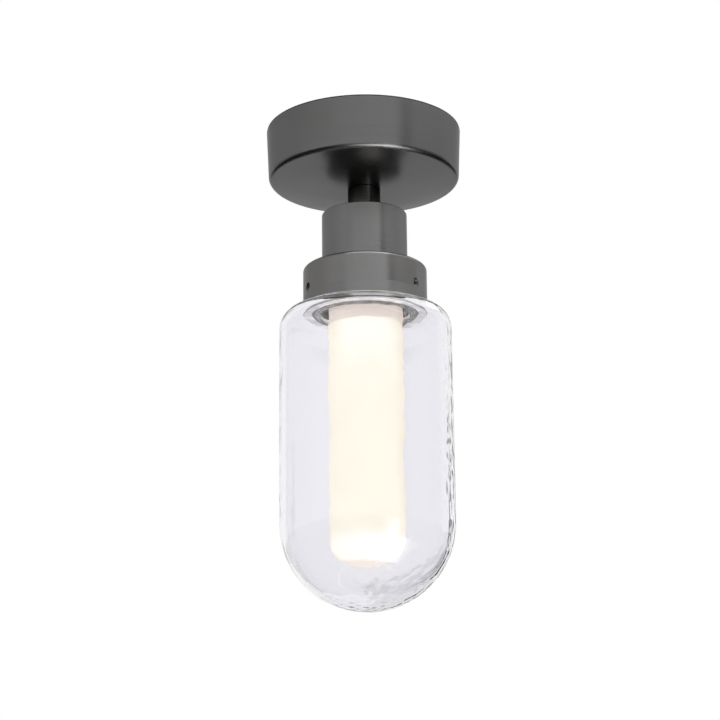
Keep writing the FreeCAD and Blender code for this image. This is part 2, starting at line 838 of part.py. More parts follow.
def glass_shade():
    shoulder_r = shade_radius - shade_shoulder
    shoulder_z = shade_top - shade_shoulder
    inner = shade_radius - shade_wall
    inner_shoulder = shade_shoulder - shade_wall
    return turned((neck_bore_radius, neck_top), (neck_radius, neck_top), (neck_radius, shade_top),
                  (shoulder_r, shade_top),
                  (on_arc(shoulder_r, shoulder_z, shade_shoulder, 45), (shade_radius, shoulder_z)),
                  (shade_radius, shade_hemisphere),
                  (on_arc(0, shade_hemisphere, shade_radius, -45), (0, shade_hemisphere - shade_radius)),
                  (0, shade_hemisphere - inner),
                  (on_arc(0, shade_hemisphere, inner, -45), (inner, shade_hemisphere)),
                  (inner, shoulder_z),
                  (on_arc(shoulder_r, shoulder_z, inner_shoulder, 45), (shoulder_r, shade_top - shade_wall)),
                  (neck_bore_radius, shade_top - shade_wall))


def shade_ferrule():
    return ring(ferrule_radius, ferrule_bore_radius, ferrule_top, shade_top)


def shade_cement():
    return ring(ferrule_bore_radius, neck_radius, neck_top - cement_inset, shade_top)


def shade_gasket():
    return ring(collar_radius - shade_gasket_margin, ferrule_radius + shade_gasket_margin,
                shade_gasket_top, shade_top)


def shade_screw(index):
    return grub_screw(shade_screw_radius, shade_screw_tip, shade_screw_outer, shade_screw_key,
                      shade_screw_axis, bearing(shade_screw_bearings()[index]))


# ---------------------------------------------------------------- nodes

nodes = {
    "ceiling_gasket": ceiling_gasket(),
    "mounting_bracket": mounting_bracket(),
    "cable_bush": cable_bush(),
    "terminal_block": terminal_block(),
    "terminal_inserts": terminal_inserts(),
    "terminal_clamp_screws": terminal_clamp_screws(),
    "terminal_fixing_screws": terminal_fixing_screws(),
    "earth_tag": earth_tag(),
    "earth_screw": earth_screw(),
    "earth_lead": earth_lead(),
    "canopy": canopy(),
    "canopy_screws": canopy_screws(),
    "stem_nipple": stem_nipple(),
    "upper_lock_washer": upper_lock_washer(),
    "upper_nut": upper_nut(),
    "stem_sleeve": stem_sleeve(),
    "stem_seals": stem_seals(),
    "cup": cup(),
    "cup_seal": cup_seal(),
    "lower_washer": lower_washer(),
    "lower_nut": lower_nut(),
    "nipple_bushes": nipple_bushes(),
    "collar": collar(),
    "holder_plate": holder_plate(),
    "diffuser_carrier": diffuser_carrier(),
    "carrier_screws": carrier_screws(),
    "diffuser_seal": diffuser_seal(),
    "lampholder_nipple": lampholder_nipple(),
    "lampholder_nut": lampholder_nut(),
    "lampholder_cap": lampholder_cap(),
    "lampholder_body": lampholder_body(),
    "lampholder_contacts": lampholder_contacts(),
    "neutral_lead": neutral_lead(),
    "live_lead": live_lead(),
    "lamp_base": lamp_base(),
    "lamp_pins": lamp_pins(),
    "lamp_capsule": lamp_capsule(),
    "lamp_element": lamp_element(),
    "diffuser_tube": diffuser_tube(),
    "glass_shade": glass_shade(),
    "shade_ferrule": shade_ferrule(),
    "shade_cement": shade_cement(),
    "shade_gasket": shade_gasket(),
}
for screw_index in range(shade_screw_count):
    nodes["shade_screw_%d" % (screw_index + 1)] = shade_screw(screw_index)

os.makedirs("parts", exist_ok=True)
for name, shape in nodes.items():
    shape.exportStep("parts/%s.step" % name)
    print("%-24s solids %d valid %s volume %.1f" % (name, len(shape.Solids), shape.isValid(), shape.Volume))
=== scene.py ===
"""Looks of a semi-flush ceiling light: gunmetal canopy, cup and collar, hammered glass and lit frosted tube.

Lengths are in metres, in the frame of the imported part: the ceiling is the plane z = 0, the light hangs along
-z and the side that is usually seen faces -y. A value whose name ends in _mm holds millimetres. A scale is a
texture's own, and larger is finer.
"""
import itertools
import logging
import math
from dataclasses import dataclass, field
from enum import Enum
from typing import Any, Callable, Iterable, Protocol, Sequence

import bpy
import numpy as np
from mathutils import Euler, Matrix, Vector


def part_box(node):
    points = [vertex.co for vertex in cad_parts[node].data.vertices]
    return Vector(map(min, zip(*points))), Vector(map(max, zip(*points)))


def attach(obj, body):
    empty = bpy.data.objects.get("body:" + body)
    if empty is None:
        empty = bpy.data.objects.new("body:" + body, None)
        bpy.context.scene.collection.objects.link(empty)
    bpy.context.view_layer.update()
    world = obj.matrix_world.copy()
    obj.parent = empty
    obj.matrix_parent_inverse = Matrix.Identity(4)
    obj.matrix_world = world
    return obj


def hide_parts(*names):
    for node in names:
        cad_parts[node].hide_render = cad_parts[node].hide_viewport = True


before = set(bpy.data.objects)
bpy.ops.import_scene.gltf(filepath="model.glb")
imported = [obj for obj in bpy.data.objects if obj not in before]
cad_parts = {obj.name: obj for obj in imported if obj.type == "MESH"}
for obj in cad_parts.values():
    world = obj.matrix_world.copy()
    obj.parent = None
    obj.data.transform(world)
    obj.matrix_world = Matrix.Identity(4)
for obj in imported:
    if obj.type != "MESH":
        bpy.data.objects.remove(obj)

MM = 0.001
LOG = logging.getLogger("ceiling_light")

Colour = tuple[float, float, float]
Corner = tuple[float, float, float]
Span = tuple[float, float]
Triple = tuple[float, float, float]
Relief = Callable[[np.ndarray, np.ndarray], np.ndarray]


# ------------------------------------------------------------------------------------------------ node sheets

class Sheet:
    """A shader node tree that is filled in one node at a time."""

    def __init__(self, tree: bpy.types.NodeTree) -> None:
        """Takes the tree to fill in."""
        self.tree = tree

    def add(self, kind: str, settings: dict[str, Any] | None = None, **inputs: Any) -> bpy.types.Node:
        """Adds one node, sets its options and feeds its inputs.

        Args:
            kind: Blender's name of the node type.
            settings: Options of the node, by property name.
            inputs: Values or sockets by input name, with _ for a space, or i0, i1, ... for an input's place.

        Returns:
            The new node.
        """
        node = self.tree.nodes.new(kind)
        for name, value in (settings or {}).items():
            setattr(node, name, value)
        self.feed(node, **inputs)
        return node

    def feed(self, node: bpy.types.Node, **inputs: Any) -> None:
        """Links sockets to a node's inputs and sets plain values on them.

        Args:
            node: The node.
            inputs: As for add; a colour may come without its alpha.
        """
        for name, value in inputs.items():
            by_place = name[0] == "i" and name[1:].isdigit()
            socket = node.inputs[int(name[1:])] if by_place else node.inputs[name.replace("_", " ")]
            if isinstance(value, bpy.types.NodeSocket):
                self.tree.links.new(value, socket)
            else:
                socket.default_value = (*value, 1.0) if socket.type == "RGBA" else value

    def math(self, operation: str, first: Any, second: Any = 0.0,
             clamp: bool = False) -> bpy.types.NodeSocket:
        """Adds a Math node and returns its result."""
        node = self.add("ShaderNodeMath", {"operation": operation, "use_clamp": clamp}, i0=first, i1=second)
        return node.outputs[0]

    def blend(self, share: Any, low: Colour | Any, high: Colour | Any,
              kind: str = "MIX") -> bpy.types.NodeSocket:
        """Adds a colour mix that runs from low to high, or to their product, and returns its result."""
        settings = {"data_type": "RGBA", "blend_type": kind}
        return self.add("ShaderNodeMix", settings, i0=share, i6=low, i7=high).outputs[2]

    def span(self, value: Any, low: float, high: float, start: float = 0.0,
             end: float = 1.0) -> bpy.types.NodeSocket:
        """Adds a smooth, clamped Map Range and returns its result."""
        settings = {"interpolation_type": "SMOOTHSTEP"}
        node = self.add("ShaderNodeMapRange", settings, i0=value, i1=low, i2=high, i3=start, i4=end)
        return node.outputs[0]

    def object_place(self) -> bpy.types.NodeSocket:
        """Adds a Texture Coordinate node and returns its Object output."""
        return self.add("ShaderNodeTexCoord").outputs["Object"]


class Effect(Enum):
    """The shared effects, each a node group that is built once."""

    TURNED_GRAIN = "turned_grain"
    CLOUD = "cloud"
    EDGE_WEAR = "edge_wear"
    SPECKLE = "speckle"


GRAIN_RANGE: Span = (0.3, 0.7)
CLOUD_RANGE: Span = (0.32, 0.68)
WEAR_RANGE: Span = (0.42, 0.62)
SPECK_RADII: Span = (0.12, 0.34)


def _fill_turned_grain(sheet: Sheet, given: Any, out: Any) -> None:
    """Fine lines round the axis: noise of the radius and the height, which hardly changes with the angle.

    The noise is read at (sweep x cos a, sweep x sin a, radius x lines), with height x lines as its fourth
    coordinate, so the lines close on themselves behind the light.
    """
    axes = sheet.add("ShaderNodeSeparateXYZ", i0=given["Place"])
    flat = sheet.add("ShaderNodeCombineXYZ", X=axes.outputs[0], Y=axes.outputs[1])
    radius = sheet.add("ShaderNodeVectorMath", {"operation": "LENGTH"}, i0=flat.outputs[0]).outputs[1]
    around = sheet.add("ShaderNodeVectorMath", {"operation": "NORMALIZE"}, i0=flat.outputs[0]).outputs[0]
    swept = sheet.add("ShaderNodeVectorMath", {"operation": "SCALE"}, i0=around, i3=given["Sweep"]).outputs[0]
    parts = sheet.add("ShaderNodeSeparateXYZ", i0=swept)
    across = sheet.math("MULTIPLY", radius, given["Lines"])
    along = sheet.math("MULTIPLY", axes.outputs[2], given["Lines"])
    place = sheet.add("ShaderNodeCombineXYZ", X=parts.outputs[0], Y=parts.outputs[1], Z=across).outputs[0]
    noise = sheet.add("ShaderNodeTexNoise", {"noise_dimensions": "4D"}, Vector=place, W=along, Scale=1.0,
                      Detail=3.0, Roughness=0.62)
    sheet.tree.links.new(noise.outputs[0], out["Height"])
    sheet.tree.links.new(sheet.span(noise.outputs[0], *GRAIN_RANGE), out["Tone"])


def _fill_cloud(sheet: Sheet, given: Any, out: Any) -> None:
    """Broad soft patches: two octaves of noise, spread to the full range."""
    noise = sheet.add("ShaderNodeTexNoise", Vector=given["Place"], Scale=given["Scale"], Detail=2.0,
                      Roughness=0.5)
    sheet.tree.links.new(sheet.span(noise.outputs[0], *CLOUD_RANGE), out["Mask"])


def _fill_edge_wear(sheet: Sheet, given: Any, out: Any) -> None:
    """Rubbed edges: a band round each of two heights, broken up by noise so that it comes and goes."""
    height = sheet.add("ShaderNodeSeparateXYZ", i0=given["Place"]).outputs[2]
    bands = []
    for name in ("Upper Edge", "Lower Edge"):
        offset = sheet.math("ABSOLUTE", sheet.math("SUBTRACT", height, given[name]))
        bands.append(sheet.math("SUBTRACT", 1.0, sheet.math("DIVIDE", offset, given["Width"]), clamp=True))
    band = sheet.math("MAXIMUM", bands[0], bands[1])
    noise = sheet.add("ShaderNodeTexNoise", Vector=given["Place"], Scale=given["Scale"], Detail=4.0,
                      Roughness=0.6)
    broken = sheet.span(noise.outputs[0], *WEAR_RANGE)
    sheet.tree.links.new(sheet.math("MULTIPLY", band, broken), out["Mask"])


def _fill_speckle(sheet: Sheet, given: Any, out: Any) -> None:
    """Small round specks: 1 near the middle of each cell, 0 from about a third of a cell outwards."""
    cells = sheet.add("ShaderNodeTexVoronoi", Vector=given["Place"], Scale=given["Scale"])
    sheet.tree.links.new(sheet.span(cells.outputs[0], *SPECK_RADII, 1.0, 0.0), out["Mask"])


_EFFECT_INPUTS: dict[Effect, dict[str, float]] = {
    Effect.TURNED_GRAIN: {"Lines": 4000.0, "Sweep": 0.7},
    Effect.CLOUD: {"Scale": 30.0},
    Effect.EDGE_WEAR: {"Upper Edge": 0.0, "Lower Edge": 0.0, "Width": 0.0006, "Scale": 260.0},
    Effect.SPECKLE: {"Scale": 900.0},
}
_EFFECT_OUTPUTS: dict[Effect, Sequence[str]] = {
    Effect.TURNED_GRAIN: ("Height", "Tone"),
    Effect.CLOUD: ("Mask",),
    Effect.EDGE_WEAR: ("Mask",),
    Effect.SPECKLE: ("Mask",),
}
_EFFECT_FILL: dict[Effect, Callable[[Sheet, Any, Any], None]] = {
    Effect.TURNED_GRAIN: _fill_turned_grain,
    Effect.CLOUD: _fill_cloud,
    Effect.EDGE_WEAR: _fill_edge_wear,
    Effect.SPECKLE: _fill_speckle,
}


def effect_group(effect: Effect) -> bpy.types.NodeTree:
    """Gives the node group of a shared effect, built at its first use.

    Args:
        effect: Which effect.

    Returns:
        The group, which takes a place and its own numbers and puts out masks and heights.
    """
    found = bpy.data.node_groups.get(effect.value)
    if found:
        return found
    tree = bpy.data.node_groups.new(effect.value, "ShaderNodeTree")
    tree.interface.new_socket("Place", in_out="INPUT", socket_type="NodeSocketVector")
    for name, value in _EFFECT_INPUTS[effect].items():
        socket = tree.interface.new_socket(name, in_out="INPUT", socket_type="NodeSocketFloat")
        socket.default_value = value
    for name in _EFFECT_OUTPUTS[effect]:
        tree.interface.new_socket(name, in_out="OUTPUT", socket_type="NodeSocketFloat")
    given = tree.nodes.new("NodeGroupInput")
    out = tree.nodes.new("NodeGroupOutput")
    _EFFECT_FILL[effect](Sheet(tree), given.outputs, out.inputs)
    return tree


def apply_effect(sheet: Sheet, effect: Effect, place: Any, **numbers: float) -> bpy.types.NodeOutputs:
    """Places a shared effect in a material with that material's own numbers.

    Args:
        sheet: The material's node sheet.
        effect: Which effect.
        place: The socket that gives the place on the surface.
        numbers: The effect's inputs by name, with _ for a space.

    Returns:
        The group node's outputs.
    """
    node = sheet.tree.nodes.new("ShaderNodeGroup")
    node.node_tree = effect_group(effect)
    sheet.tree.links.new(place, node.inputs["Place"])
    for name, value in numbers.items():
        node.inputs[name.replace("_", " ")].default_value = value
    return node.outputs


def new_material(name: str) -> tuple[bpy.types.Material, Sheet, bpy.types.Node]:
    """Starts a material with an empty sheet and one shader.

    Args:
        name: The material's name.

    Returns:
        The material, its sheet and its Principled shader, already linked to the output.
    """
    material = bpy.data.materials.new(name)
    material.use_nodes = True
    material.node_tree.nodes.clear()
    sheet = Sheet(material.node_tree)
    shader = sheet.add("ShaderNodeBsdfPrincipled")
    sheet.add("ShaderNodeOutputMaterial", Surface=shader.outputs[0])
    return material, sheet, shader


def toned(colour: Colour, share: float) -> Colour:
    """Makes a colour lighter or darker: each channel times the share."""
    red, green, blue = colour
    return red * share, green * share, blue * share


# ----------------------------------------------------------------------------------------------- finishes

class Finish(Protocol):
    """A finish that can build its own material."""

    def material(self) -> bpy.types.Material:
        """Builds the finish and returns its material."""


@dataclass(frozen=True)
class TurnedMetal:
    """Metal that was turned or brushed on a lathe, so that its grain runs round the axis."""

    name: str
    colour: Colour
    worn_colour: Colour
    roughness: float
    upper_edge_mm: float = 0.0
    lower_edge_mm: float = 0.0
    edge_width_mm: float = 0.5
    wear: float = 0.35
    tone_spread: float = 0.035
    cloud_scale: float = 34.0
    cloud_spread: float = 0.05
    cloud_green_share: float = 0.35
    cloud_roughness: float = 0.04
    roughness_spread: float = 0.012
    stretch: float = 0.6
    stretch_turn: float = 0.25
    lines_per_mm: float = 3.0
    groove_mm: float = 0.00004
    grazing: float = 0.62

    def material(self) -> bpy.types.Material:
        """Builds the finish and returns its material.

        The colour varies by the tone spread with the grain, turns a little warmer in the clouds and goes part
        of the way to the worn colour at both edges.
        """
        material, sheet, shader = new_material(self.name)
        place = sheet.object_place()
        grain = apply_effect(sheet, Effect.TURNED_GRAIN, place, Lines=self.lines_per_mm / MM)
        cloud = apply_effect(sheet, Effect.CLOUD, place, Scale=self.cloud_scale)["Mask"]
        rubbed = apply_effect(sheet, Effect.EDGE_WEAR, place, Upper_Edge=self.upper_edge_mm * MM,
                              Lower_Edge=self.lower_edge_mm * MM, Width=self.edge_width_mm * MM)["Mask"]
        darker, lighter = (toned(self.colour, 1 + sign * self.tone_spread) for sign in (-1, 1))
        lined = sheet.blend(grain["Tone"], darker, lighter)
        warm = (1.0, 1 - self.cloud_spread * self.cloud_green_share, 1 - self.cloud_spread)
        clouded = sheet.blend(cloud, lined, warm, "MULTIPLY")
        low, high = self.roughness - self.roughness_spread, self.roughness + self.roughness_spread
        grain_gloss = sheet.span(grain["Tone"], 0.0, 1.0, low, high)
        bump = sheet.add("ShaderNodeBump", Height=grain["Height"], Strength=1.0, Distance=self.groove_mm * MM)
        tangent = sheet.add("ShaderNodeTangent", {"direction_type": "RADIAL", "axis": "Z"})
        sheet.feed(
            shader,
            Base_Color=sheet.blend(sheet.math("MULTIPLY", rubbed, self.wear), clouded, self.worn_colour),
            Roughness=sheet.math("ADD", grain_gloss, sheet.math("MULTIPLY", cloud, self.cloud_roughness)),
            Normal=bump.outputs[0], Tangent=tangent.outputs[0], Metallic=1.0, Anisotropic=self.stretch,
            Anisotropic_Rotation=self.stretch_turn, Specular_Tint=(self.grazing, self.grazing, self.grazing))
        return material


@dataclass(frozen=True)
class Speckled:
    """Two tones in soft patches, with small specks that change gloss and height.

    With a glow strength set it also glows: painted light standing for the lit tube's light falling on it.
    """

    name: str
    colour: Colour
    second_colour: Colour
    roughness: float
    patch_scale: float
    speck_scale: float
    speck_roughness: float
    speck_strength: float
    speck_mm: float
    metallic: float
    painted_tube_glow: float = 0.0

    def material(self) -> bpy.types.Material:
        """Builds the finish and returns its material."""
        material, sheet, shader = new_material(self.name)
        place = sheet.object_place()
        patches = apply_effect(sheet, Effect.CLOUD, place, Scale=self.patch_scale)["Mask"]
        specks = apply_effect(sheet, Effect.SPECKLE, place, Scale=self.speck_scale)["Mask"]
        tone = sheet.blend(patches, self.colour, self.second_colour)
        rough = sheet.math("ADD", self.roughness, sheet.math("MULTIPLY", specks, self.speck_roughness))
        bump = sheet.add("ShaderNodeBump", Height=specks, Strength=self.speck_strength,
                         Distance=self.speck_mm * MM)
        sheet.feed(shader, Base_Color=tone, Roughness=rough, Normal=bump.outputs[0], Metallic=self.metallic)
        # Painted light: emission in the piece's own colours for the lit tube's light falling on it.
        if self.painted_tube_glow:
            sheet.feed(shader, Emission_Color=tone, Emission_Strength=self.painted_tube_glow)
        return material


@dataclass(frozen=True)
class PlatedMetal(Speckled):
    """Plated or bare metal hardware, with a fine grain that has no direction."""

    patch_scale: float = 120.0
    speck_scale: float = 1500.0
    speck_roughness: float = 0.08
    speck_strength: float = 0.6
    speck_mm: float = 0.002
    metallic: float = 1.0


@dataclass(frozen=True)
class Moulded(Speckled):
    """Rubber, plastic, silicone, ceramic or cement, with a fine pitted skin."""

    patch_scale: float = 150.0
    speck_scale: float = 1400.0
    speck_roughness: float = -0.1
    speck_strength: float = 0.5
    speck_mm: float = 0.004
    metallic: float = 0.0


@dataclass(frozen=True)
class StripedSleeve:
    """Wire insulation with slanting stripes of a second colour."""

    name: str
    colour: Colour
    stripe: Colour
    stripe_scale: float = 91.0
    stripe_edge: Span = (0.55, 0.65)
    roughness: float = 0.42
    speck_scale: float = 1800.0
    speck_roughness: float = 0.08

    def material(self) -> bpy.types.Material:
        """Builds the finish and returns its material."""
        material, sheet, shader = new_material(self.name)
        place = sheet.object_place()
        settings = {"wave_type": "BANDS", "bands_direction": "DIAGONAL"}
        wave = sheet.add("ShaderNodeTexWave", settings, Vector=place, Scale=self.stripe_scale, Distortion=0.0)
        striped = sheet.blend(sheet.span(wave.outputs[1], *self.stripe_edge), self.colour, self.stripe)
        specks = apply_effect(sheet, Effect.SPECKLE, place, Scale=self.speck_scale)["Mask"]
        rough = sheet.math("ADD", self.roughness, sheet.math("MULTIPLY", specks, self.speck_roughness))
        sheet.feed(shader, Base_Color=striped, Roughness=rough)
        return material


@dataclass(frozen=True)
class ClearGlass:
    """Clear drawn or blown glass with a slow waviness in its skin."""

    name: str
    tint: Colour
    roughness: float = 0.0
    refraction: float = 1.5
    wave_scale: float = 90.0
    wave_mm: float = 0.05

    def material(self) -> bpy.types.Material:
        """Builds the finish and returns its material."""
        material, sheet, shader = new_material(self.name)
        noise = sheet.add("ShaderNodeTexNoise", Vector=sheet.object_place(), Scale=self.wave_scale,
                          Detail=2.0, Roughness=0.45)
        bump = sheet.add("ShaderNodeBump", Height=noise.outputs[0], Strength=1.0, Distance=self.wave_mm * MM)
        sheet.feed(shader, Base_Color=self.tint, Roughness=self.roughness, IOR=self.refraction,
                   Transmission_Weight=1.0, Normal=bump.outputs[0])
        return material


@dataclass(frozen=True)
class LitFrost:
    """Frosted glass lit from inside, its glow painted as emission: painted spill light above the lamp line,
    cream below it and white at the rounded end.

    Near the hot line it is whiter where it is seen straight on, a painted hot spot, and where it is seen at a
    grazing angle it takes the rim colour, painted peach shade along the tube's outline. Each rise is a pair of
    heights above its line, where a change starts and where it is complete. Each facing is such a pair too, on
    a scale from 0 for straight on to 1 for edge-on.
    """

    name: str
    frost: Colour
    cream: Colour
    white: Colour
    # spill and rim are painted light and shade: the glow above the lamp line, and the peach outline edge-on
    spill: Colour
    rim: Colour
    limb_tint: Colour
    lamp_line_mm: float
    hot_line_mm: float
    end_line_mm: float
    lamp_rise_mm: Span = (0.5, -1.0)
    hot_rise_mm: Span = (-30.0, 0.0)
    end_rise_mm: Span = (10.0, -2.0)
    straight_facing: Span = (0.48, 0.12)
    straight_share: float = 0.75
    limb_shade_facing: Span = (0.62, 0.97)
    cloud_scale: float = 55.0
    cloud_share: float = 0.06
    frost_share: float = 0.96
    ring_lines_per_mm: float = 0.55
    ring_shares: Span = (0.8, 1.2)
    speck_scale: float = 2400.0
    speck_strength: float = 0.4
    speck_mm: float = 0.004
    roughness: float = 0.55
    coat: float = 0.6
    coat_roughness: float = 0.4

    def glow(self, sheet: Sheet, place: Any, cloud: Any) -> bpy.types.NodeSocket:
        """Makes the colour of the light that comes through the frost.

        Args:
            sheet: The material's node sheet.
            place: The socket that gives the place on the surface.
            cloud: The mask of the soft patches.

        Returns:
            The colour: ringed painted spill light above the lamp line, cream to white below it, and edge-on
            the rim colour as painted shade.
        """
        height = sheet.add("ShaderNodeSeparateXYZ", i0=place).outputs[2]
        lines = ((self.lamp_line_mm, self.lamp_rise_mm), (self.hot_line_mm, self.hot_rise_mm),
                 (self.end_line_mm, self.end_rise_mm))
        lit, hot, end = (sheet.span(height, (line + rise[0]) * MM, (line + rise[1]) * MM)
                         for line, rise in lines)
        # Painted by facing: a whiter hot spot seen straight on, the rim colour's painted shade edge-on.
        facing = sheet.add("ShaderNodeLayerWeight", Blend=0.5).outputs["Facing"]
        straight_on = sheet.span(facing, *self.straight_facing, 0.0, self.straight_share)
        whiter = sheet.math("MAXIMUM", sheet.math("MULTIPLY", hot, straight_on), end)
        body = sheet.blend(whiter, self.cream, self.white)
        mottled = sheet.blend(sheet.math("MULTIPLY", cloud, self.cloud_share), body, self.limb_tint)
        limb_shaded = sheet.blend(sheet.span(facing, *self.limb_shade_facing), mottled, self.rim)
        rings = apply_effect(sheet, Effect.TURNED_GRAIN, place, Lines=self.ring_lines_per_mm / MM)["Tone"]
        spill = sheet.blend(rings, *(toned(self.spill, share) for share in self.ring_shares))
        return sheet.blend(lit, spill, limb_shaded)

    def material(self) -> bpy.types.Material:
        """Builds the finish and returns its material."""
        material, sheet, shader = new_material(self.name)
        place = sheet.object_place()
        cloud = apply_effect(sheet, Effect.CLOUD, place, Scale=self.cloud_scale)["Mask"]
        specks = apply_effect(sheet, Effect.SPECKLE, place, Scale=self.speck_scale)["Mask"]
        bump = sheet.add("ShaderNodeBump", Height=specks, Strength=self.speck_strength,
                         Distance=self.speck_mm * MM)
        sheet.feed(shader, Base_Color=sheet.blend(cloud, toned(self.frost, self.frost_share), self.frost),
                   Roughness=self.roughness, Normal=bump.outputs[0], Coat_Weight=self.coat,
                   Coat_Roughness=self.coat_roughness, Coat_Tint=self.limb_tint,
                   Emission_Color=self.glow(sheet, place, cloud), Emission_Strength=1.0)
        return material


@dataclass(frozen=True)
class Glow:
    """The lit core of the lamp."""

    name: str
    colour: Colour
    strength: float
    patch_scale: float = 400.0
    dim_share: float = 0.8

    def material(self) -> bpy.types.Material:
        """Builds the finish and returns its material."""
        material, sheet, shader = new_material(self.name)
        patches = apply_effect(sheet, Effect.CLOUD, sheet.object_place(), Scale=self.patch_scale)["Mask"]
        tone = sheet.blend(patches, toned(self.colour, self.dim_share), self.colour)
        sheet.feed(shader, Emission_Color=tone, Emission_Strength=self.strength)
        return material


# ------------------------------------------------------------------------------------------------ surfaces

def rounded_path(corners: Sequence[Corner], arc_points: int = 40) -> np.ndarray:
    """Draws a half section with a rounded corner at each inner point.

    The rounding at a corner is the circle of the given radius that touches both runs, so it starts
    radius x tan(turn / 2) before the corner and ends as far after it.

    Args:
        corners: Points as (radius, height, rounding) in millimetres.
        arc_points: How many points a rounding gets.

    Returns:
        An array of (radius, height) rows in millimetres.
    """
    rows = [np.array(corners[0][:2])]
    for before, corner, after in zip(corners, corners[1:], corners[2:]):
        here = np.array(corner[:2])
        back = np.array(before[:2]) - here
        ahead = np.array(after[:2]) - here
        back, ahead = back / np.linalg.norm(back), ahead / np.linalg.norm(ahead)
        half = math.acos(float(np.clip(back @ ahead, -1.0, 1.0))) / 2
        middle = (back + ahead) / np.linalg.norm(back + ahead)
        centre = here + middle * corner[2] / math.sin(half)
        spread = np.linspace(-1.0, 1.0, arc_points) * (math.pi / 2 - half)
        side = np.array([-middle[1], middle[0]])
        side = side if side @ ahead > 0 else -side
        rows.extend(centre - corner[2] * (np.outer(np.cos(spread), middle) - np.outer(np.sin(spread), side)))
    rows.append(np.array(corners[-1][:2]))
    return np.array(rows)


FINE_STEPS = 24


def spaced(path: np.ndarray, step_mm: float, turn_degrees: float = 9.0) -> np.ndarray:
    """Spaces points along a path, closer where it bends.

    Each bit of the path counts its length over step_mm plus its turn over turn_degrees, and the points lie at
    equal counts.

    Args:
        path: (radius, height) rows in millimetres.
        step_mm: The spacing on a straight run.
        turn_degrees: The most that the path turns from one point to the next.

    Returns:
        The new (radius, height) rows.
    """
    finer = np.linspace(0.0, len(path) - 1.0, (len(path) - 1) * FINE_STEPS + 1)
    index = np.arange(len(path))
    dense = np.stack([np.interp(finer, index, path[:, axis]) for axis in (0, 1)], axis=1)
    runs = np.diff(dense, axis=0)
    lengths = np.hypot(runs[:, 0], runs[:, 1])
    heading = np.unwrap(np.arctan2(runs[:, 1], runs[:, 0]))
    turns = np.abs(np.diff(heading, prepend=heading[0]))
    count = np.concatenate([[0.0], np.cumsum(lengths / step_mm + turns / math.radians(turn_degrees))])
    wanted = np.linspace(0.0, count[-1], int(math.ceil(count[-1])) + 1)
    return np.stack([np.interp(wanted, count, dense[:, axis]) for axis in (0, 1)], axis=1)


def outward(path: np.ndarray) -> np.ndarray:
    """Gives the unit normals of a half section that runs up the outside: its heading, turned to the right."""
    heading = np.gradient(path, axis=0)
    heading /= np.linalg.norm(heading, axis=1, keepdims=True)
    return np.stack([heading[:, 1], -heading[:, 0]], axis=1)


def place_object(name: str, data: bpy.types.ID) -> bpy.types.Object:
    """Makes an object of a mesh or a camera and puts it into the scene."""
    made = bpy.data.objects.new(name, data)
    bpy.context.scene.collection.objects.link(made)
    return made


def lathe(name: str, path: np.ndarray, columns: int, relief: Relief) -> bpy.types.Object:
    """Turns a half section into a closed shell and adds a relief to it.

    A point at angle a is (r cos a, r sin a, z), moved along the surface's normal by the relief at that point.
    The path starts and ends on the axis, where the shell closes in one vertex.

    Args:
        name: The piece's name.
        path: (radius, height) rows in millimetres, from the axis to the axis, up the outside first.
        columns: How many points lie round the axis.
        relief: Gives heights in millimetres, outward positive, from points (n, 3) and normals (n, 3).

    Returns:
        The piece, in metres, at the origin.
    """
    rings, normals = path[1:-1], outward(path)[1:-1]
    angle = np.arange(columns) * (2 * math.pi / columns)
    cos, sin = np.cos(angle), np.sin(angle)

    def spin(rows: np.ndarray) -> np.ndarray:
        """Carries (radius, height) rows round the axis as an array of (n, 3) rows."""
        level = np.broadcast_to(rows[:, 1:2], (len(rows), columns))
        return np.stack([rows[:, :1] * cos, rows[:, :1] * sin, level], axis=2).reshape(-1, 3)

    points, facing = spin(rings), spin(normals)
    points = points + facing * relief(points, facing)[:, None]
    poles = np.array([[0.0, 0.0, path[0, 1]], [0.0, 0.0, path[-1, 1]]])
    vertices = np.concatenate([points, poles]) * MM
    ring, column = np.meshgrid(np.arange(len(rings) - 1), np.arange(columns), indexing="ij")
    near = ring * columns + column
    beside = ring * columns + (column + 1) % columns
    quads = np.stack([near, beside, beside + columns, near + columns], axis=2).reshape(-1, 4)
    turn = np.arange(columns)
    last = (len(rings) - 1) * columns
    first_fan = np.stack([np.full(columns, len(points)), (turn + 1) % columns, turn], axis=1)
    last_fan = np.stack([last + turn, last + (turn + 1) % columns, np.full(columns, len(points) + 1)], axis=1)
    mesh = bpy.data.meshes.new(name)
    mesh.from_pydata(vertices, [], quads.tolist() + first_fan.tolist() + last_fan.tolist())
    mesh.polygons.foreach_set("use_smooth", np.ones(len(mesh.polygons), dtype=bool))
    mesh.update()
    return place_object(name, mesh)


LATTICE_PRIMES = (73856093, 19349663, 83492791)
AXIS_SALTS = (0, 101, 211)
SALT_FACTOR = 2654435761
STIR_ROUNDS = ((15, 2246822519), (13, 3266489917))
LAST_SHIFT = 16
WORD = 0xFFFFFFFF


def scatter(corners: np.ndarray, seed: int) -> np.ndarray:
    """Gives each lattice corner a steady random offset of -0.5 to 0.5 on each axis.

    It is a hash of the corner's place: its three numbers, each times a large prime, are joined by exclusive
    or and get a salt for the axis, and rounds of shift, exclusive or and product stir the bits.
    """
    keys = np.bitwise_xor.reduce(corners.astype(np.int64) * np.array(LATTICE_PRIMES), axis=1)
    mixed = (keys[:, None] + (seed + np.array(AXIS_SALTS)) * SALT_FACTOR) & WORD
    for shift, factor in STIR_ROUNDS:
        mixed = ((mixed ^ (mixed >> shift)) * factor) & WORD
    return (mixed ^ (mixed >> LAST_SHIFT)) / float(WORD) - 0.5


MARK_JITTER = 0.8
RIDGE_LEVEL = 0.55


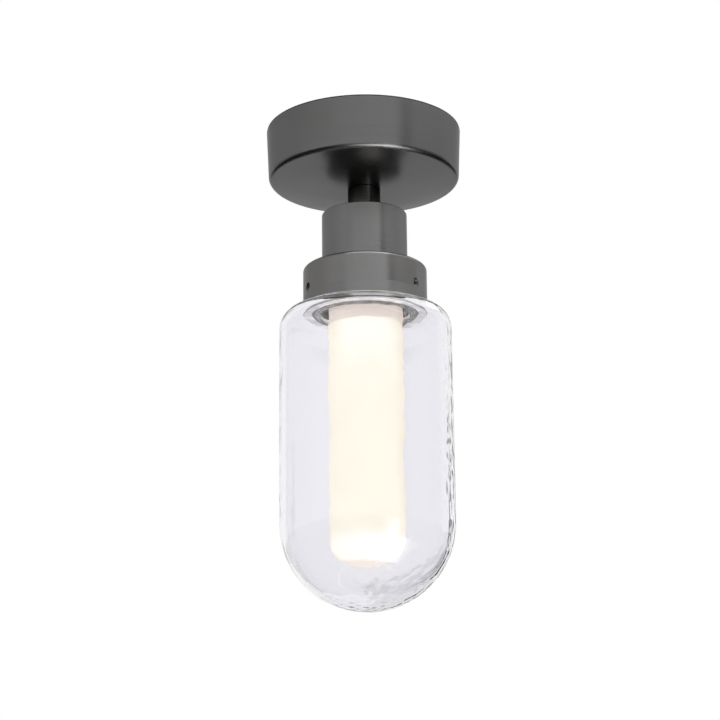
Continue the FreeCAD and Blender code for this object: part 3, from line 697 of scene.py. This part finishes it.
def hammer_marks(points: np.ndarray, mark_mm: float, softness: float, seed: int) -> np.ndarray:
    """Gives hammer marks as shares of their depth: about 1 in the middle of a mark, 0 on the ridge round it.

    Marks lie at scattered points of a cubic lattice. With the squared distances d to the marks around, in
    cells, the soft least of them is -log(sum(exp(-k d))) / k, so the ridges between marks are rounded. The
    share falls as it grows and is 0 from the ridge level on.

    Args:
        points: (n, 3) places in millimetres.
        mark_mm: The usual width of a mark.
        softness: How round the ridges are, 1 / k.
        seed: Which scatter.

    Returns:
        The (n,) shares.
    """
    scaled = points / mark_mm
    base = np.floor(scaled)
    sharp = 1.0 / softness
    total = np.zeros(len(points))
    for offset in itertools.product((-1, 0, 1), repeat=3):
        corner = base + np.array(offset)
        middle = corner + 0.5 + MARK_JITTER * scatter(corner, seed)
        total += np.exp(-sharp * ((scaled - middle) ** 2).sum(axis=1))
    return 1.0 - np.minimum(-np.log(total) / sharp / RIDGE_LEVEL, 1.0)


def fade(value: np.ndarray, start: float, end: float) -> np.ndarray:
    """Rises smoothly from 0 at start to 1 at end: 3 t^2 - 2 t^3 of the clamped share t."""
    share = np.clip((value - start) / (end - start), 0.0, 1.0)
    return share * share * (3.0 - 2.0 * share)


# ------------------------------------------------------------------------------------------ sub-assemblies

def dress(finish: Finish, *nodes: str) -> None:
    """Gives every slot of the named CAD nodes one finish.

    Args:
        finish: The finish, whose material is made here.
        nodes: The nodes' names.
    """
    material = finish.material()
    for name in nodes:
        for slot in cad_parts[name].material_slots:
            slot.material = material


@dataclass
class SubAssembly:
    """A group of pieces that belong together on the real light."""

    title: str = "pieces"

    def build(self) -> Iterable[bpy.types.Object]:
        """Makes the pieces that the CAD doesn't have; none by default."""
        return ()

    def dress(self) -> None:
        """Gives the CAD nodes their finishes."""

    def finish(self) -> None:
        """Builds and dresses the sub-assembly and reports it."""
        made = list(self.build())
        self.dress()
        LOG.info("%s: %d new pieces%s", self.title, len(made), "".join(" " + piece.name for piece in made))


GUNMETAL: Colour = (0.152, 0.152, 0.153)
GUNMETAL_WORN: Colour = (0.30, 0.29, 0.275)


@dataclass
class Canopy(SubAssembly):
    """The spun canopy with its gasket and side screws."""

    title: str = "canopy"
    roughness: float = 0.29
    stretch: float = 0.4
    crown_drop_mm: float = 5.4

    def dress(self) -> None:
        """Brushes the shell, worn at its rim and where its side meets the crown, and blackens the rest."""
        low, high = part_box("canopy")
        shell = TurnedMetal("canopy_gunmetal", GUNMETAL, GUNMETAL_WORN, self.roughness, stretch=self.stretch,
                            upper_edge_mm=high[2] / MM, lower_edge_mm=low[2] / MM + self.crown_drop_mm)
        dress(shell, "canopy")
        dress(PlatedMetal("blackened_screw", (0.05, 0.05, 0.052), (0.09, 0.088, 0.085), 0.34),
              "canopy_screws")
        dress(Moulded("ceiling_gasket_rubber", (0.012, 0.012, 0.012), (0.02, 0.02, 0.02), 0.8),
              "ceiling_gasket")


@dataclass
class CeilingSide(SubAssembly):
    """The bracket, the terminal block and the earth terminal above the canopy's underside."""

    title: str = "ceiling side"

    def dress(self) -> None:
        """Plates the bracket and colours plastics, brass and leads."""
        dress(PlatedMetal("bracket_zinc", (0.62, 0.64, 0.66), (0.70, 0.66, 0.55), 0.32), "mounting_bracket")
        dress(PlatedMetal("screw_zinc", (0.66, 0.67, 0.69), (0.58, 0.57, 0.55), 0.26),
              "terminal_clamp_screws", "terminal_fixing_screws")
        dress(PlatedMetal("terminal_brass", (0.72, 0.52, 0.20), (0.56, 0.38, 0.15), 0.28),
              "terminal_inserts", "earth_tag", "earth_screw")
        dress(Moulded("bush_nylon", (0.03, 0.03, 0.031), (0.045, 0.045, 0.046), 0.5), "cable_bush")
        dress(Moulded("terminal_nylon", (0.80, 0.79, 0.74), (0.72, 0.71, 0.66), 0.45), "terminal_block")
        dress(StripedSleeve("earth_sleeve", (0.10, 0.42, 0.08), (0.80, 0.66, 0.04)), "earth_lead")


@dataclass
class Stem(SubAssembly):
    """The black-nickel sleeve and the threaded tube, nuts and washers that hold canopy and cup together."""

    title: str = "stem"

    def dress(self) -> None:
        """Polishes the sleeve dark and plates the hardware."""
        low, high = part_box("stem_sleeve")
        sleeve = TurnedMetal("stem_black_nickel", (0.085, 0.085, 0.081), (0.16, 0.155, 0.14), 0.2,
                             upper_edge_mm=high[2] / MM, lower_edge_mm=low[2] / MM, stretch=0.3)
        dress(sleeve, "stem_sleeve")
        zinc = PlatedMetal("hardware_zinc", (0.60, 0.62, 0.64), (0.66, 0.63, 0.54), 0.3)
        dress(zinc, "stem_nipple", "lampholder_nipple", "upper_lock_washer", "lower_washer")
        dress(PlatedMetal("nut_brass", (0.70, 0.50, 0.19), (0.58, 0.40, 0.16), 0.24),
              "upper_nut", "lower_nut", "lampholder_nut")
        dress(Moulded("seal_rubber", (0.015, 0.015, 0.015), (0.03, 0.03, 0.03), 0.75),
              "stem_seals", "cup_seal")
        dress(Moulded("tube_bush_nylon", (0.82, 0.81, 0.76), (0.74, 0.73, 0.68), 0.45), "nipple_bushes")


@dataclass
class CupAndCollar(SubAssembly):
    """The cup, the collar and the three recessed screws that grip the shade."""

    title: str = "cup and collar"
    roughness: float = 0.28

    def dress(self) -> None:
        """Brushes cup and collar, with wear at the cup's edges and the collar's top."""
        # Tones 1.31 and 1.40 lighten the gunmetal: partly a finish that differs, partly painted light.
        for node, tone, worn_foot in (("cup", 1.31, True), ("collar", 1.40, False)):
            low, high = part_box(node)
            colour = toned(GUNMETAL, tone)
            lowest_wear = low if worn_foot else high
            metal = TurnedMetal(node + "_gunmetal", colour, GUNMETAL_WORN, self.roughness,
                                upper_edge_mm=high[2] / MM, lower_edge_mm=lowest_wear[2] / MM)
            dress(metal, node)
        dress(PlatedMetal("shade_screw_steel", (0.36, 0.36, 0.36), (0.28, 0.28, 0.28), 0.24),
              "shade_screw_1", "shade_screw_2", "shade_screw_3")
        dress(PlatedMetal("plate_zinc", (0.50, 0.51, 0.52), (0.56, 0.54, 0.48), 0.36),
              "holder_plate", "carrier_screws")


@dataclass
class Lampholder(SubAssembly):
    """The carrier of the frosted tube, the lampholder, its leads and the two-pin lamp."""

    title: str = "lampholder and lamp"

    def dress(self) -> None:
        """Gives carrier, ceramic, contacts, leads and lamp their finishes."""
        low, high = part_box("diffuser_carrier")
        # Near black as painted shade for the dark inside of the collar seen through the glass.
        carrier = TurnedMetal("carrier_painted_shade_black", (0.03, 0.03, 0.031), (0.12, 0.12, 0.12), 0.42,
                              upper_edge_mm=high[2] / MM, lower_edge_mm=low[2] / MM, lines_per_mm=2.0)
        dress(carrier, "diffuser_carrier")
        cap = TurnedMetal("cap_aluminium", (0.66, 0.66, 0.67), (0.8, 0.8, 0.8), 0.33, lines_per_mm=2.0)
        dress(cap, "lampholder_cap")
        dress(Moulded("carrier_seal_silicone", (0.74, 0.74, 0.71), (0.66, 0.66, 0.63), 0.6),
              "diffuser_seal")
        dress(Moulded("holder_ceramic", (0.80, 0.78, 0.72), (0.73, 0.70, 0.64), 0.42, speck_scale=900.0),
              "lampholder_body", "lamp_base")
        dress(PlatedMetal("contact_brass", (0.74, 0.58, 0.30), (0.62, 0.47, 0.24), 0.3),
              "lampholder_contacts")
        dress(PlatedMetal("pin_steel", (0.62, 0.62, 0.63), (0.52, 0.52, 0.53), 0.22), "lamp_pins")
        dress(StripedSleeve("neutral_sleeve", (0.03, 0.10, 0.42), (0.035, 0.12, 0.47)), "neutral_lead")
        dress(StripedSleeve("live_sleeve", (0.16, 0.06, 0.025), (0.19, 0.075, 0.03)), "live_lead")
        dress(ClearGlass("lamp_capsule_glass", (0.97, 0.97, 0.95), roughness=0.25), "lamp_capsule")
        dress(Glow("lamp_core", (1.0, 0.82, 0.55), 6.0), "lamp_element")


@dataclass
class FrostedTube(SubAssembly):
    """The inner tube: frosted glass with a shallow moulded thread under its open end."""

    title: str = "frosted tube"
    wall_mm: float = 2.0
    corner_mm: float = 12.0
    rim_mm: float = 0.8
    columns: int = 192
    step_mm: float = 1.3
    thread_top_mm: float = 12.0
    thread_foot_mm: float = 28.0
    thread_pitch_mm: float = 3.0
    thread_depth_mm: float = 0.22
    thread_run_out_mm: float = 3.0
    lamp_line_mm: float = -121.0
    hot_line_mm: float = -126.0
    white_end_mm: float = 9.0

    def relief(self, points: np.ndarray, facing: np.ndarray) -> np.ndarray:
        """Gives the thread, cut into the outside only.

        The ridge is a raised cosine of depth over pitch plus the share of a turn, with the depth counted down
        from the open end. The cut is 1 less its square, faded out at both ends of the thread.
        """
        _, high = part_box("diffuser_tube")
        depth = high[2] / MM - points[:, 2]
        turn = np.arctan2(points[:, 1], points[:, 0]) / (2 * math.pi)
        ridge = 0.5 + 0.5 * np.cos(2 * math.pi * (depth / self.thread_pitch_mm + turn))
        top, foot, run_out = self.thread_top_mm, self.thread_foot_mm, self.thread_run_out_mm
        ends = fade(depth, top, top + run_out) * fade(depth, foot, foot - run_out)
        outside = facing[:, 0] * points[:, 0] + facing[:, 1] * points[:, 1] > 0
        return -self.thread_depth_mm * (1.0 - ridge ** 2) * ends * outside

    def build(self) -> Iterable[bpy.types.Object]:
        """Turns the tube's half section, with both walls and its rounded end, and adds the thread."""
        low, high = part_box("diffuser_tube")
        radius, top, foot = high[0] / MM, high[2] / MM, low[2] / MM
        inner = radius - self.wall_mm
        corners = [(0.0, foot, 0.0), (radius, foot, self.corner_mm), (radius, top, self.rim_mm),
                   (inner, top, self.rim_mm), (inner, foot + self.wall_mm, self.corner_mm - self.wall_mm),
                   (0.0, foot + self.wall_mm, 0.0)]
        tube = lathe("frosted_tube", spaced(rounded_path(corners), self.step_mm), self.columns, self.relief)
        # The glow colours are painted light of the lit tube; rim is its painted shade along the outline.
        frost = LitFrost("lit_frosted_glass", (0.76, 0.73, 0.70), (0.62, 0.645, 0.51), (0.78, 0.80, 0.75),
                         spill=(0.475, 0.435, 0.385), rim=(0.58, 0.51, 0.42), limb_tint=(1.0, 0.93, 0.87),
                         lamp_line_mm=self.lamp_line_mm, hot_line_mm=self.hot_line_mm,
                         end_line_mm=foot + self.white_end_mm)
        tube.data.materials.append(frost.material())
        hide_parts("diffuser_tube")
        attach(tube, "diffuser")
        yield tube


POLE_FLAT_MM = 0.01
MARK_SEED = 7
WAVE_SEED = 23


@dataclass
class HammeredShade(SubAssembly):
    """The outer glass: a blown capsule with hammer marks outside, a wavy inside and a polished neck."""

    title: str = "hammered shade"
    wall_mm: float = 3.5
    shoulder_mm: float = 11.7
    seat_mm: float = -111.25
    neck_mm: float = 29.35
    neck_wall_mm: float = 2.9
    neck_fillet_mm: float = 0.5
    bore_fillet_mm: float = 0.8
    neck_rim_gap_mm: float = 0.05
    mark_mm: float = 5.7
    mark_depth_mm: float = 0.17
    mark_softness: float = 0.07
    bold_side_mm: Span = (-46.0, 30.0)
    faint_share: float = 0.2
    calm_foot_mm: float = 10.0
    calm_share: float = 0.4
    swirl_mm: float = 1.2
    swirl_run_mm: float = 9.0
    swirl_phases: Triple = (0.0, 2.1, 4.2)
    wave_width_share: float = 1.8
    wave_height_mm: float = 0.05
    wave_softness: float = 0.08
    ring_depth_mm: float = 0.07
    ring_pitch_mm: float = 4.4
    end_rings_mm: Span = (38.0, 14.0)
    shoulder_rings_mm: Span = (-12.0, -5.0)
    neck_clear_mm: Span = (7.5, 11.0)
    seat_clear_mm: Span = (-3.0, -6.0)
    seat_slack_mm: float = 0.1
    columns: int = 264
    outer_step_mm: float = 1.25
    inner_step_mm: float = 3.2

    def relief(self, points: np.ndarray, facing: np.ndarray) -> np.ndarray:
        """Gives the marks outside, cut into the glass, and the swells inside, raised into the cavity.

        Outside are hammer marks, deepest towards +x, faint towards -x and calmer towards the shoulder. Rings
        lie round the shoulder and the end: a cosine of the distance from the axis, bent by the swirl that
        also moves the marks. Inside are wider, lower swells of the same pattern, with another scatter. The
        neck and the seat round it stay smooth.
        """
        low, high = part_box("glass_shade")
        equator = low[2] / MM + high[0] / MM
        height = points[:, 2]
        radius = np.hypot(points[:, 0], points[:, 1])
        centre = np.clip(height, equator, self.seat_mm - self.shoulder_mm)
        away = facing[:, 0] * points[:, 0] + facing[:, 1] * points[:, 1] + facing[:, 2] * (height - centre)
        clear_of_neck = fade(radius, *(self.neck_mm + gap for gap in self.neck_clear_mm))
        below_seat = fade(height, *(self.seat_mm + gap for gap in self.seat_clear_mm))
        marked = np.maximum(clear_of_neck * (height < self.seat_mm + self.seat_slack_mm), below_seat)
        swirl = self.swirl_mm * np.sin(points[:, 2:] / self.swirl_run_mm + np.array([self.swirl_phases]))
        marks = hammer_marks(points + swirl, self.mark_mm, self.mark_softness, MARK_SEED)
        bold = self.faint_share + (1.0 - self.faint_share) * fade(points[:, 0], *self.bold_side_mm)
        bold *= 1.0 - self.calm_share * fade(height, equator + self.calm_foot_mm, self.seat_mm)
        ringed = np.maximum(fade(radius, *self.end_rings_mm),
                            fade(height, *(self.seat_mm + gap for gap in self.shoulder_rings_mm)))
        rings = 0.5 + 0.5 * np.cos(2 * math.pi * (radius + swirl[:, 0]) / self.ring_pitch_mm)
        waves = hammer_marks(points, self.mark_mm * self.wave_width_share, self.wave_softness, WAVE_SEED)
        outer = -(self.mark_depth_mm * bold * marks + self.ring_depth_mm * rings * ringed) * marked
        return np.where(away > 0, outer, self.wave_height_mm * waves * below_seat)

    def build(self) -> Iterable[bpy.types.Object]:
        """Turns the glass's half section, outside first, with both walls and the neck, and hammers it."""
        low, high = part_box("glass_shade")
        radius, top, foot = high[0] / MM, high[2] / MM, low[2] / MM
        bore, inner = self.neck_mm - self.neck_wall_mm, radius - self.wall_mm
        rim = self.neck_wall_mm / 2 - self.neck_rim_gap_mm
        inner_seat, inner_foot = self.seat_mm - self.wall_mm, foot + self.wall_mm
        outside = [(0.0, foot, 0.0), (radius, foot, radius - POLE_FLAT_MM),
                   (radius, self.seat_mm, self.shoulder_mm),
                   (self.neck_mm, self.seat_mm, self.neck_fillet_mm),
                   (self.neck_mm, top, rim), (bore + rim, top, 0.0)]
        inside = [(bore + rim, top, 0.0), (bore, top, rim), (bore, inner_seat, self.bore_fillet_mm),
                  (inner, inner_seat, self.shoulder_mm - self.wall_mm),
                  (inner, inner_foot, inner - POLE_FLAT_MM), (0.0, inner_foot, 0.0)]
        path = np.concatenate([spaced(rounded_path(outside), self.outer_step_mm),
                               spaced(rounded_path(inside), self.inner_step_mm)[1:]])
        shade = lathe("hammered_glass_shade", path, self.columns, self.relief)
        shade.data.materials.append(ClearGlass("hammered_clear_glass", (0.922, 0.918, 0.945)).material())
        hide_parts("glass_shade")
        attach(shade, "shade")
        yield shade

    def dress(self) -> None:
        """Finishes neck ring, cement and gasket, with painted light and shade on the cement and the gasket."""
        low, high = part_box("shade_ferrule")
        ring = TurnedMetal("ferrule_aluminium", (0.50, 0.50, 0.50), (0.6, 0.6, 0.6), 0.36,
                           upper_edge_mm=high[2] / MM, lower_edge_mm=low[2] / MM, lines_per_mm=2.0)
        dress(ring, "shade_ferrule")
        # Pale and near-black cement patches: painted light and shade; its glow: painted tube light.
        dress(Moulded("neck_cement", (0.62, 0.585, 0.56), (0.06, 0.06, 0.055), 0.4,
                      painted_tube_glow=0.36), "shade_cement")
        # The gasket's glow is painted light from the lit tube.
        dress(Moulded("shade_gasket_silicone", (0.80, 0.78, 0.76), (0.60, 0.59, 0.585), 0.45,
                      painted_tube_glow=0.48), "shade_gasket")


# -------------------------------------------------------------------------------------------------- studio

class SeenBy(Enum):
    """Which rays meet a card of the studio."""

    GLOSS = "gloss"
    GLASS = "glass"


@dataclass(frozen=True)
class Card:
    """A light or dark card round the light, unseen by the camera, with three edges that may be soft."""

    name: str
    left_degrees: float
    right_degrees: float
    low_degrees: float
    high_degrees: float
    strength: float
    seen_by: SeenBy = SeenBy.GLOSS
    soft_left_degrees: float = 1.0
    soft_right_degrees: float = 1.0
    soft_top_degrees: float = 1.0
    edge_strength: float = 0.92
    distance: float = 1.35
    middle: Triple = (0.0, 0.0, -0.14)
    grid: tuple[int, int] = (33, 13)

    def surface(self) -> bpy.types.Mesh:
        """Bends the card along a sphere round the light.

        A point at bearing b and elevation e is the middle plus d (cos e sin b, -cos e cos b, sin e), with b
        counted from the seen side towards +x.

        Returns:
            The card's mesh.
        """
        bearings = np.radians(np.linspace(self.left_degrees, self.right_degrees, self.grid[0]))
        rises = np.radians(np.linspace(self.low_degrees, self.high_degrees, self.grid[1]))
        bearing, rise = np.meshgrid(bearings, rises, indexing="ij")
        points = self.distance * np.stack([np.cos(rise) * np.sin(bearing), -np.cos(rise) * np.cos(bearing),
                                           np.sin(rise)], axis=2) + np.array(self.middle)
        index = np.arange(bearing.size).reshape(bearing.shape)
        faces = np.stack([index[:-1, :-1], index[1:, :-1], index[1:, 1:], index[:-1, 1:]], axis=2)
        mesh = bpy.data.meshes.new(self.name)
        mesh.from_pydata(points.reshape(-1, 3), [], faces.reshape(-1, 4).tolist())
        return mesh

    def material(self) -> bpy.types.Material:
        """Makes the glow: full strength inside, the edge strength at the left, right and top edges."""
        material = bpy.data.materials.new(self.name)
        material.use_nodes = True
        material.node_tree.nodes.clear()
        sheet = Sheet(material.node_tree)
        shift = tuple(-value for value in self.middle)
        place = sheet.add("ShaderNodeMapping", Vector=sheet.object_place(), Location=shift).outputs[0]
        axes = sheet.add("ShaderNodeSeparateXYZ", i0=place).outputs
        bearing = sheet.math("ARCTAN2", axes[0], sheet.math("MULTIPLY", axes[1], -1.0))
        rise = sheet.math("ARCSINE", sheet.math("DIVIDE", axes[2], self.distance))
        left, right, high = (math.radians(value) for value in
                             (self.left_degrees, self.right_degrees, self.high_degrees))
        from_left = sheet.span(bearing, left, left + math.radians(self.soft_left_degrees))
        from_right = sheet.span(bearing, right, right - math.radians(self.soft_right_degrees))
        from_top = sheet.span(rise, high, high - math.radians(self.soft_top_degrees))
        share = sheet.math("MULTIPLY", sheet.math("MULTIPLY", from_left, from_right), from_top)
        strength = sheet.span(share, 0.0, 1.0, self.edge_strength, self.strength)
        light = sheet.add("ShaderNodeEmission", Strength=strength)
        sheet.add("ShaderNodeOutputMaterial", Surface=light.outputs[0])
        return material

    def build(self) -> None:
        """Puts the card up, hidden from the camera and from diffuse and shadow rays."""
        mesh = self.surface()
        mesh.materials.append(self.material())
        card = place_object(self.name, mesh)
        card.visible_camera = card.visible_diffuse = card.visible_shadow = False
        card.visible_glossy = self.seen_by is SeenBy.GLOSS
        card.visible_transmission = self.seen_by is SeenBy.GLASS


@dataclass
class Studio:
    """The camera, the white surroundings, the pale floor and the cards that metal and glass show."""

    camera_place: Triple = (-0.0034, -1.100, -0.4562)
    pitch_degrees: float = 16.0
    roll_degrees: float = -0.6
    focal_pixels: float = 1983.0
    image_pixels: float = 720.0
    sensor_mm: float = 36.0
    clip: Span = (0.01, 100.0)
    floor_height: float = -1.7
    floor_half: float = 8.0
    floor_tone: Colour = (0.93, 0.93, 0.94)
    floor_roughness: float = 0.9
    fill_tone: Colour = (0.985, 0.985, 1.0)
    fill_strength: float = 0.95
    upper_tone: Colour = (0.5, 0.5, 0.51)
    upper_rise: Span = (0.14, 0.54)
    cards: tuple[Card, ...] = field(default_factory=lambda: (
        Card("front_soft_light", -40, 42, -3, 23, 0.96, soft_left_degrees=70, soft_top_degrees=10),
        Card("front_right_flag", 41, 57, -28, 25, 0.0, soft_top_degrees=4, distance=1.29),
        Card("right_dim_light", 57, 125, -4, 23, 0.36, soft_right_degrees=30, soft_top_degrees=8),
        Card("left_dim_light", -130, -50, -4, 23, 0.55, soft_right_degrees=45, soft_top_degrees=8),
        Card("low_front_light", -22, 74, -58, -28, 5.0, soft_left_degrees=45, soft_right_degrees=38,
             distance=1.31),
        Card("low_right_light", 22, 42, -29, -8, 3.6, soft_left_degrees=8, soft_right_degrees=6,
             distance=1.32),
        Card("low_left_flag", -150, 24, -62, -4, 0.02),
        Card("low_right_flag", 44, 150, -62, -4, 0.02),
        Card("under_flag", -180, 180, -90, -63, 0.10),
        Card("high_front_light", -40, 70, 42, 66, 3.5),
        Card("high_right_light", 36, 145, 32, 46, 1.9, soft_left_degrees=10, soft_right_degrees=8),
        Card("back_right_flag", 136, 146, -45, 14, 0.12, SeenBy.GLASS, soft_top_degrees=4, distance=1.8),
        Card("back_low_flag", 150, 180, -45, 2, 0.78, SeenBy.GLASS, soft_left_degrees=6, soft_top_degrees=3,
             distance=1.78),
    ))

    def make_camera(self) -> None:
        """Puts the camera below and in front of the light, looking up at it."""
        data = bpy.data.cameras.new("photo_camera")
        data.sensor_width = self.sensor_mm
        data.lens = self.focal_pixels / self.image_pixels * self.sensor_mm
        data.clip_start, data.clip_end = self.clip
        camera = place_object("photo_camera", data)
        tilt = Euler((math.radians(90 + self.pitch_degrees), 0.0, 0.0)).to_matrix().to_4x4()
        roll = Matrix.Rotation(math.radians(self.roll_degrees), 4, "Z")
        camera.matrix_world = Matrix.Translation(self.camera_place) @ tilt @ roll
        bpy.context.scene.camera = camera

    def make_world(self) -> None:
        """Makes the surroundings white in the camera's sight, also through glass, and an even fill elsewhere.

        In reflections the white falls off smoothly upwards, as a studio's does above its lights.
        """
        world = bpy.data.worlds.new("studio")
        world.use_nodes = True
        world.node_tree.nodes.clear()
        sheet = Sheet(world.node_tree)
        place = sheet.add("ShaderNodeTexCoord").outputs["Generated"]
        height = sheet.add("ShaderNodeSeparateXYZ", i0=place).outputs[2]
        white = (1.0, 1.0, 1.0)
        reflected = sheet.blend(sheet.span(height, *self.upper_rise), white, self.upper_tone)
        path = sheet.add("ShaderNodeLightPath").outputs
        seen = sheet.add("ShaderNodeBackground", Color=white, Strength=1.0)
        gloss = sheet.add("ShaderNodeBackground", Color=reflected, Strength=1.0)
        fill = sheet.add("ShaderNodeBackground", Color=self.fill_tone, Strength=self.fill_strength)
        lit = sheet.add("ShaderNodeMixShader", i0=path["Is Glossy Ray"], i1=fill.outputs[0],
                        i2=gloss.outputs[0])
        in_sight = sheet.math("MAXIMUM", path["Is Camera Ray"], path["Is Transmission Ray"])
        both = sheet.add("ShaderNodeMixShader", i0=in_sight, i1=lit.outputs[0], i2=seen.outputs[0])
        sheet.add("ShaderNodeOutputWorld", Surface=both.outputs[0])
        bpy.context.scene.world = world

    def make_floor(self) -> None:
        """Lays a plain pale floor far below the light."""
        half, height = self.floor_half, self.floor_height
        mesh = bpy.data.meshes.new("floor")
        corners = [(x, y, height) for x, y in ((-half, -half), (half, -half), (half, half), (-half, half))]
        mesh.from_pydata(corners, [], [(0, 1, 2, 3)])
        floor = place_object("floor", mesh)
        material, sheet, shader = new_material("pale_floor")
        sheet.feed(shader, Base_Color=self.floor_tone, Roughness=self.floor_roughness)
        mesh.materials.append(material)

    def build(self) -> None:
        """Sets the whole studio up."""
        self.make_camera()
        self.make_world()
        self.make_floor()
        for card in self.cards:
            card.build()
        bpy.context.scene.view_settings.view_transform = "Standard"
        LOG.info("studio: %d cards", len(self.cards))


def main() -> None:
    """Builds the studio and every sub-assembly in order."""
    logging.basicConfig(level=logging.INFO, format="%(message)s")
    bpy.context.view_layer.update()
    Studio().build()
    for assembly in (Canopy(), CeilingSide(), Stem(), CupAndCollar(), Lampholder(), FrostedTube(),
                     HammeredShade()):
        assembly.finish()


if __name__ == "__main__":
    main()
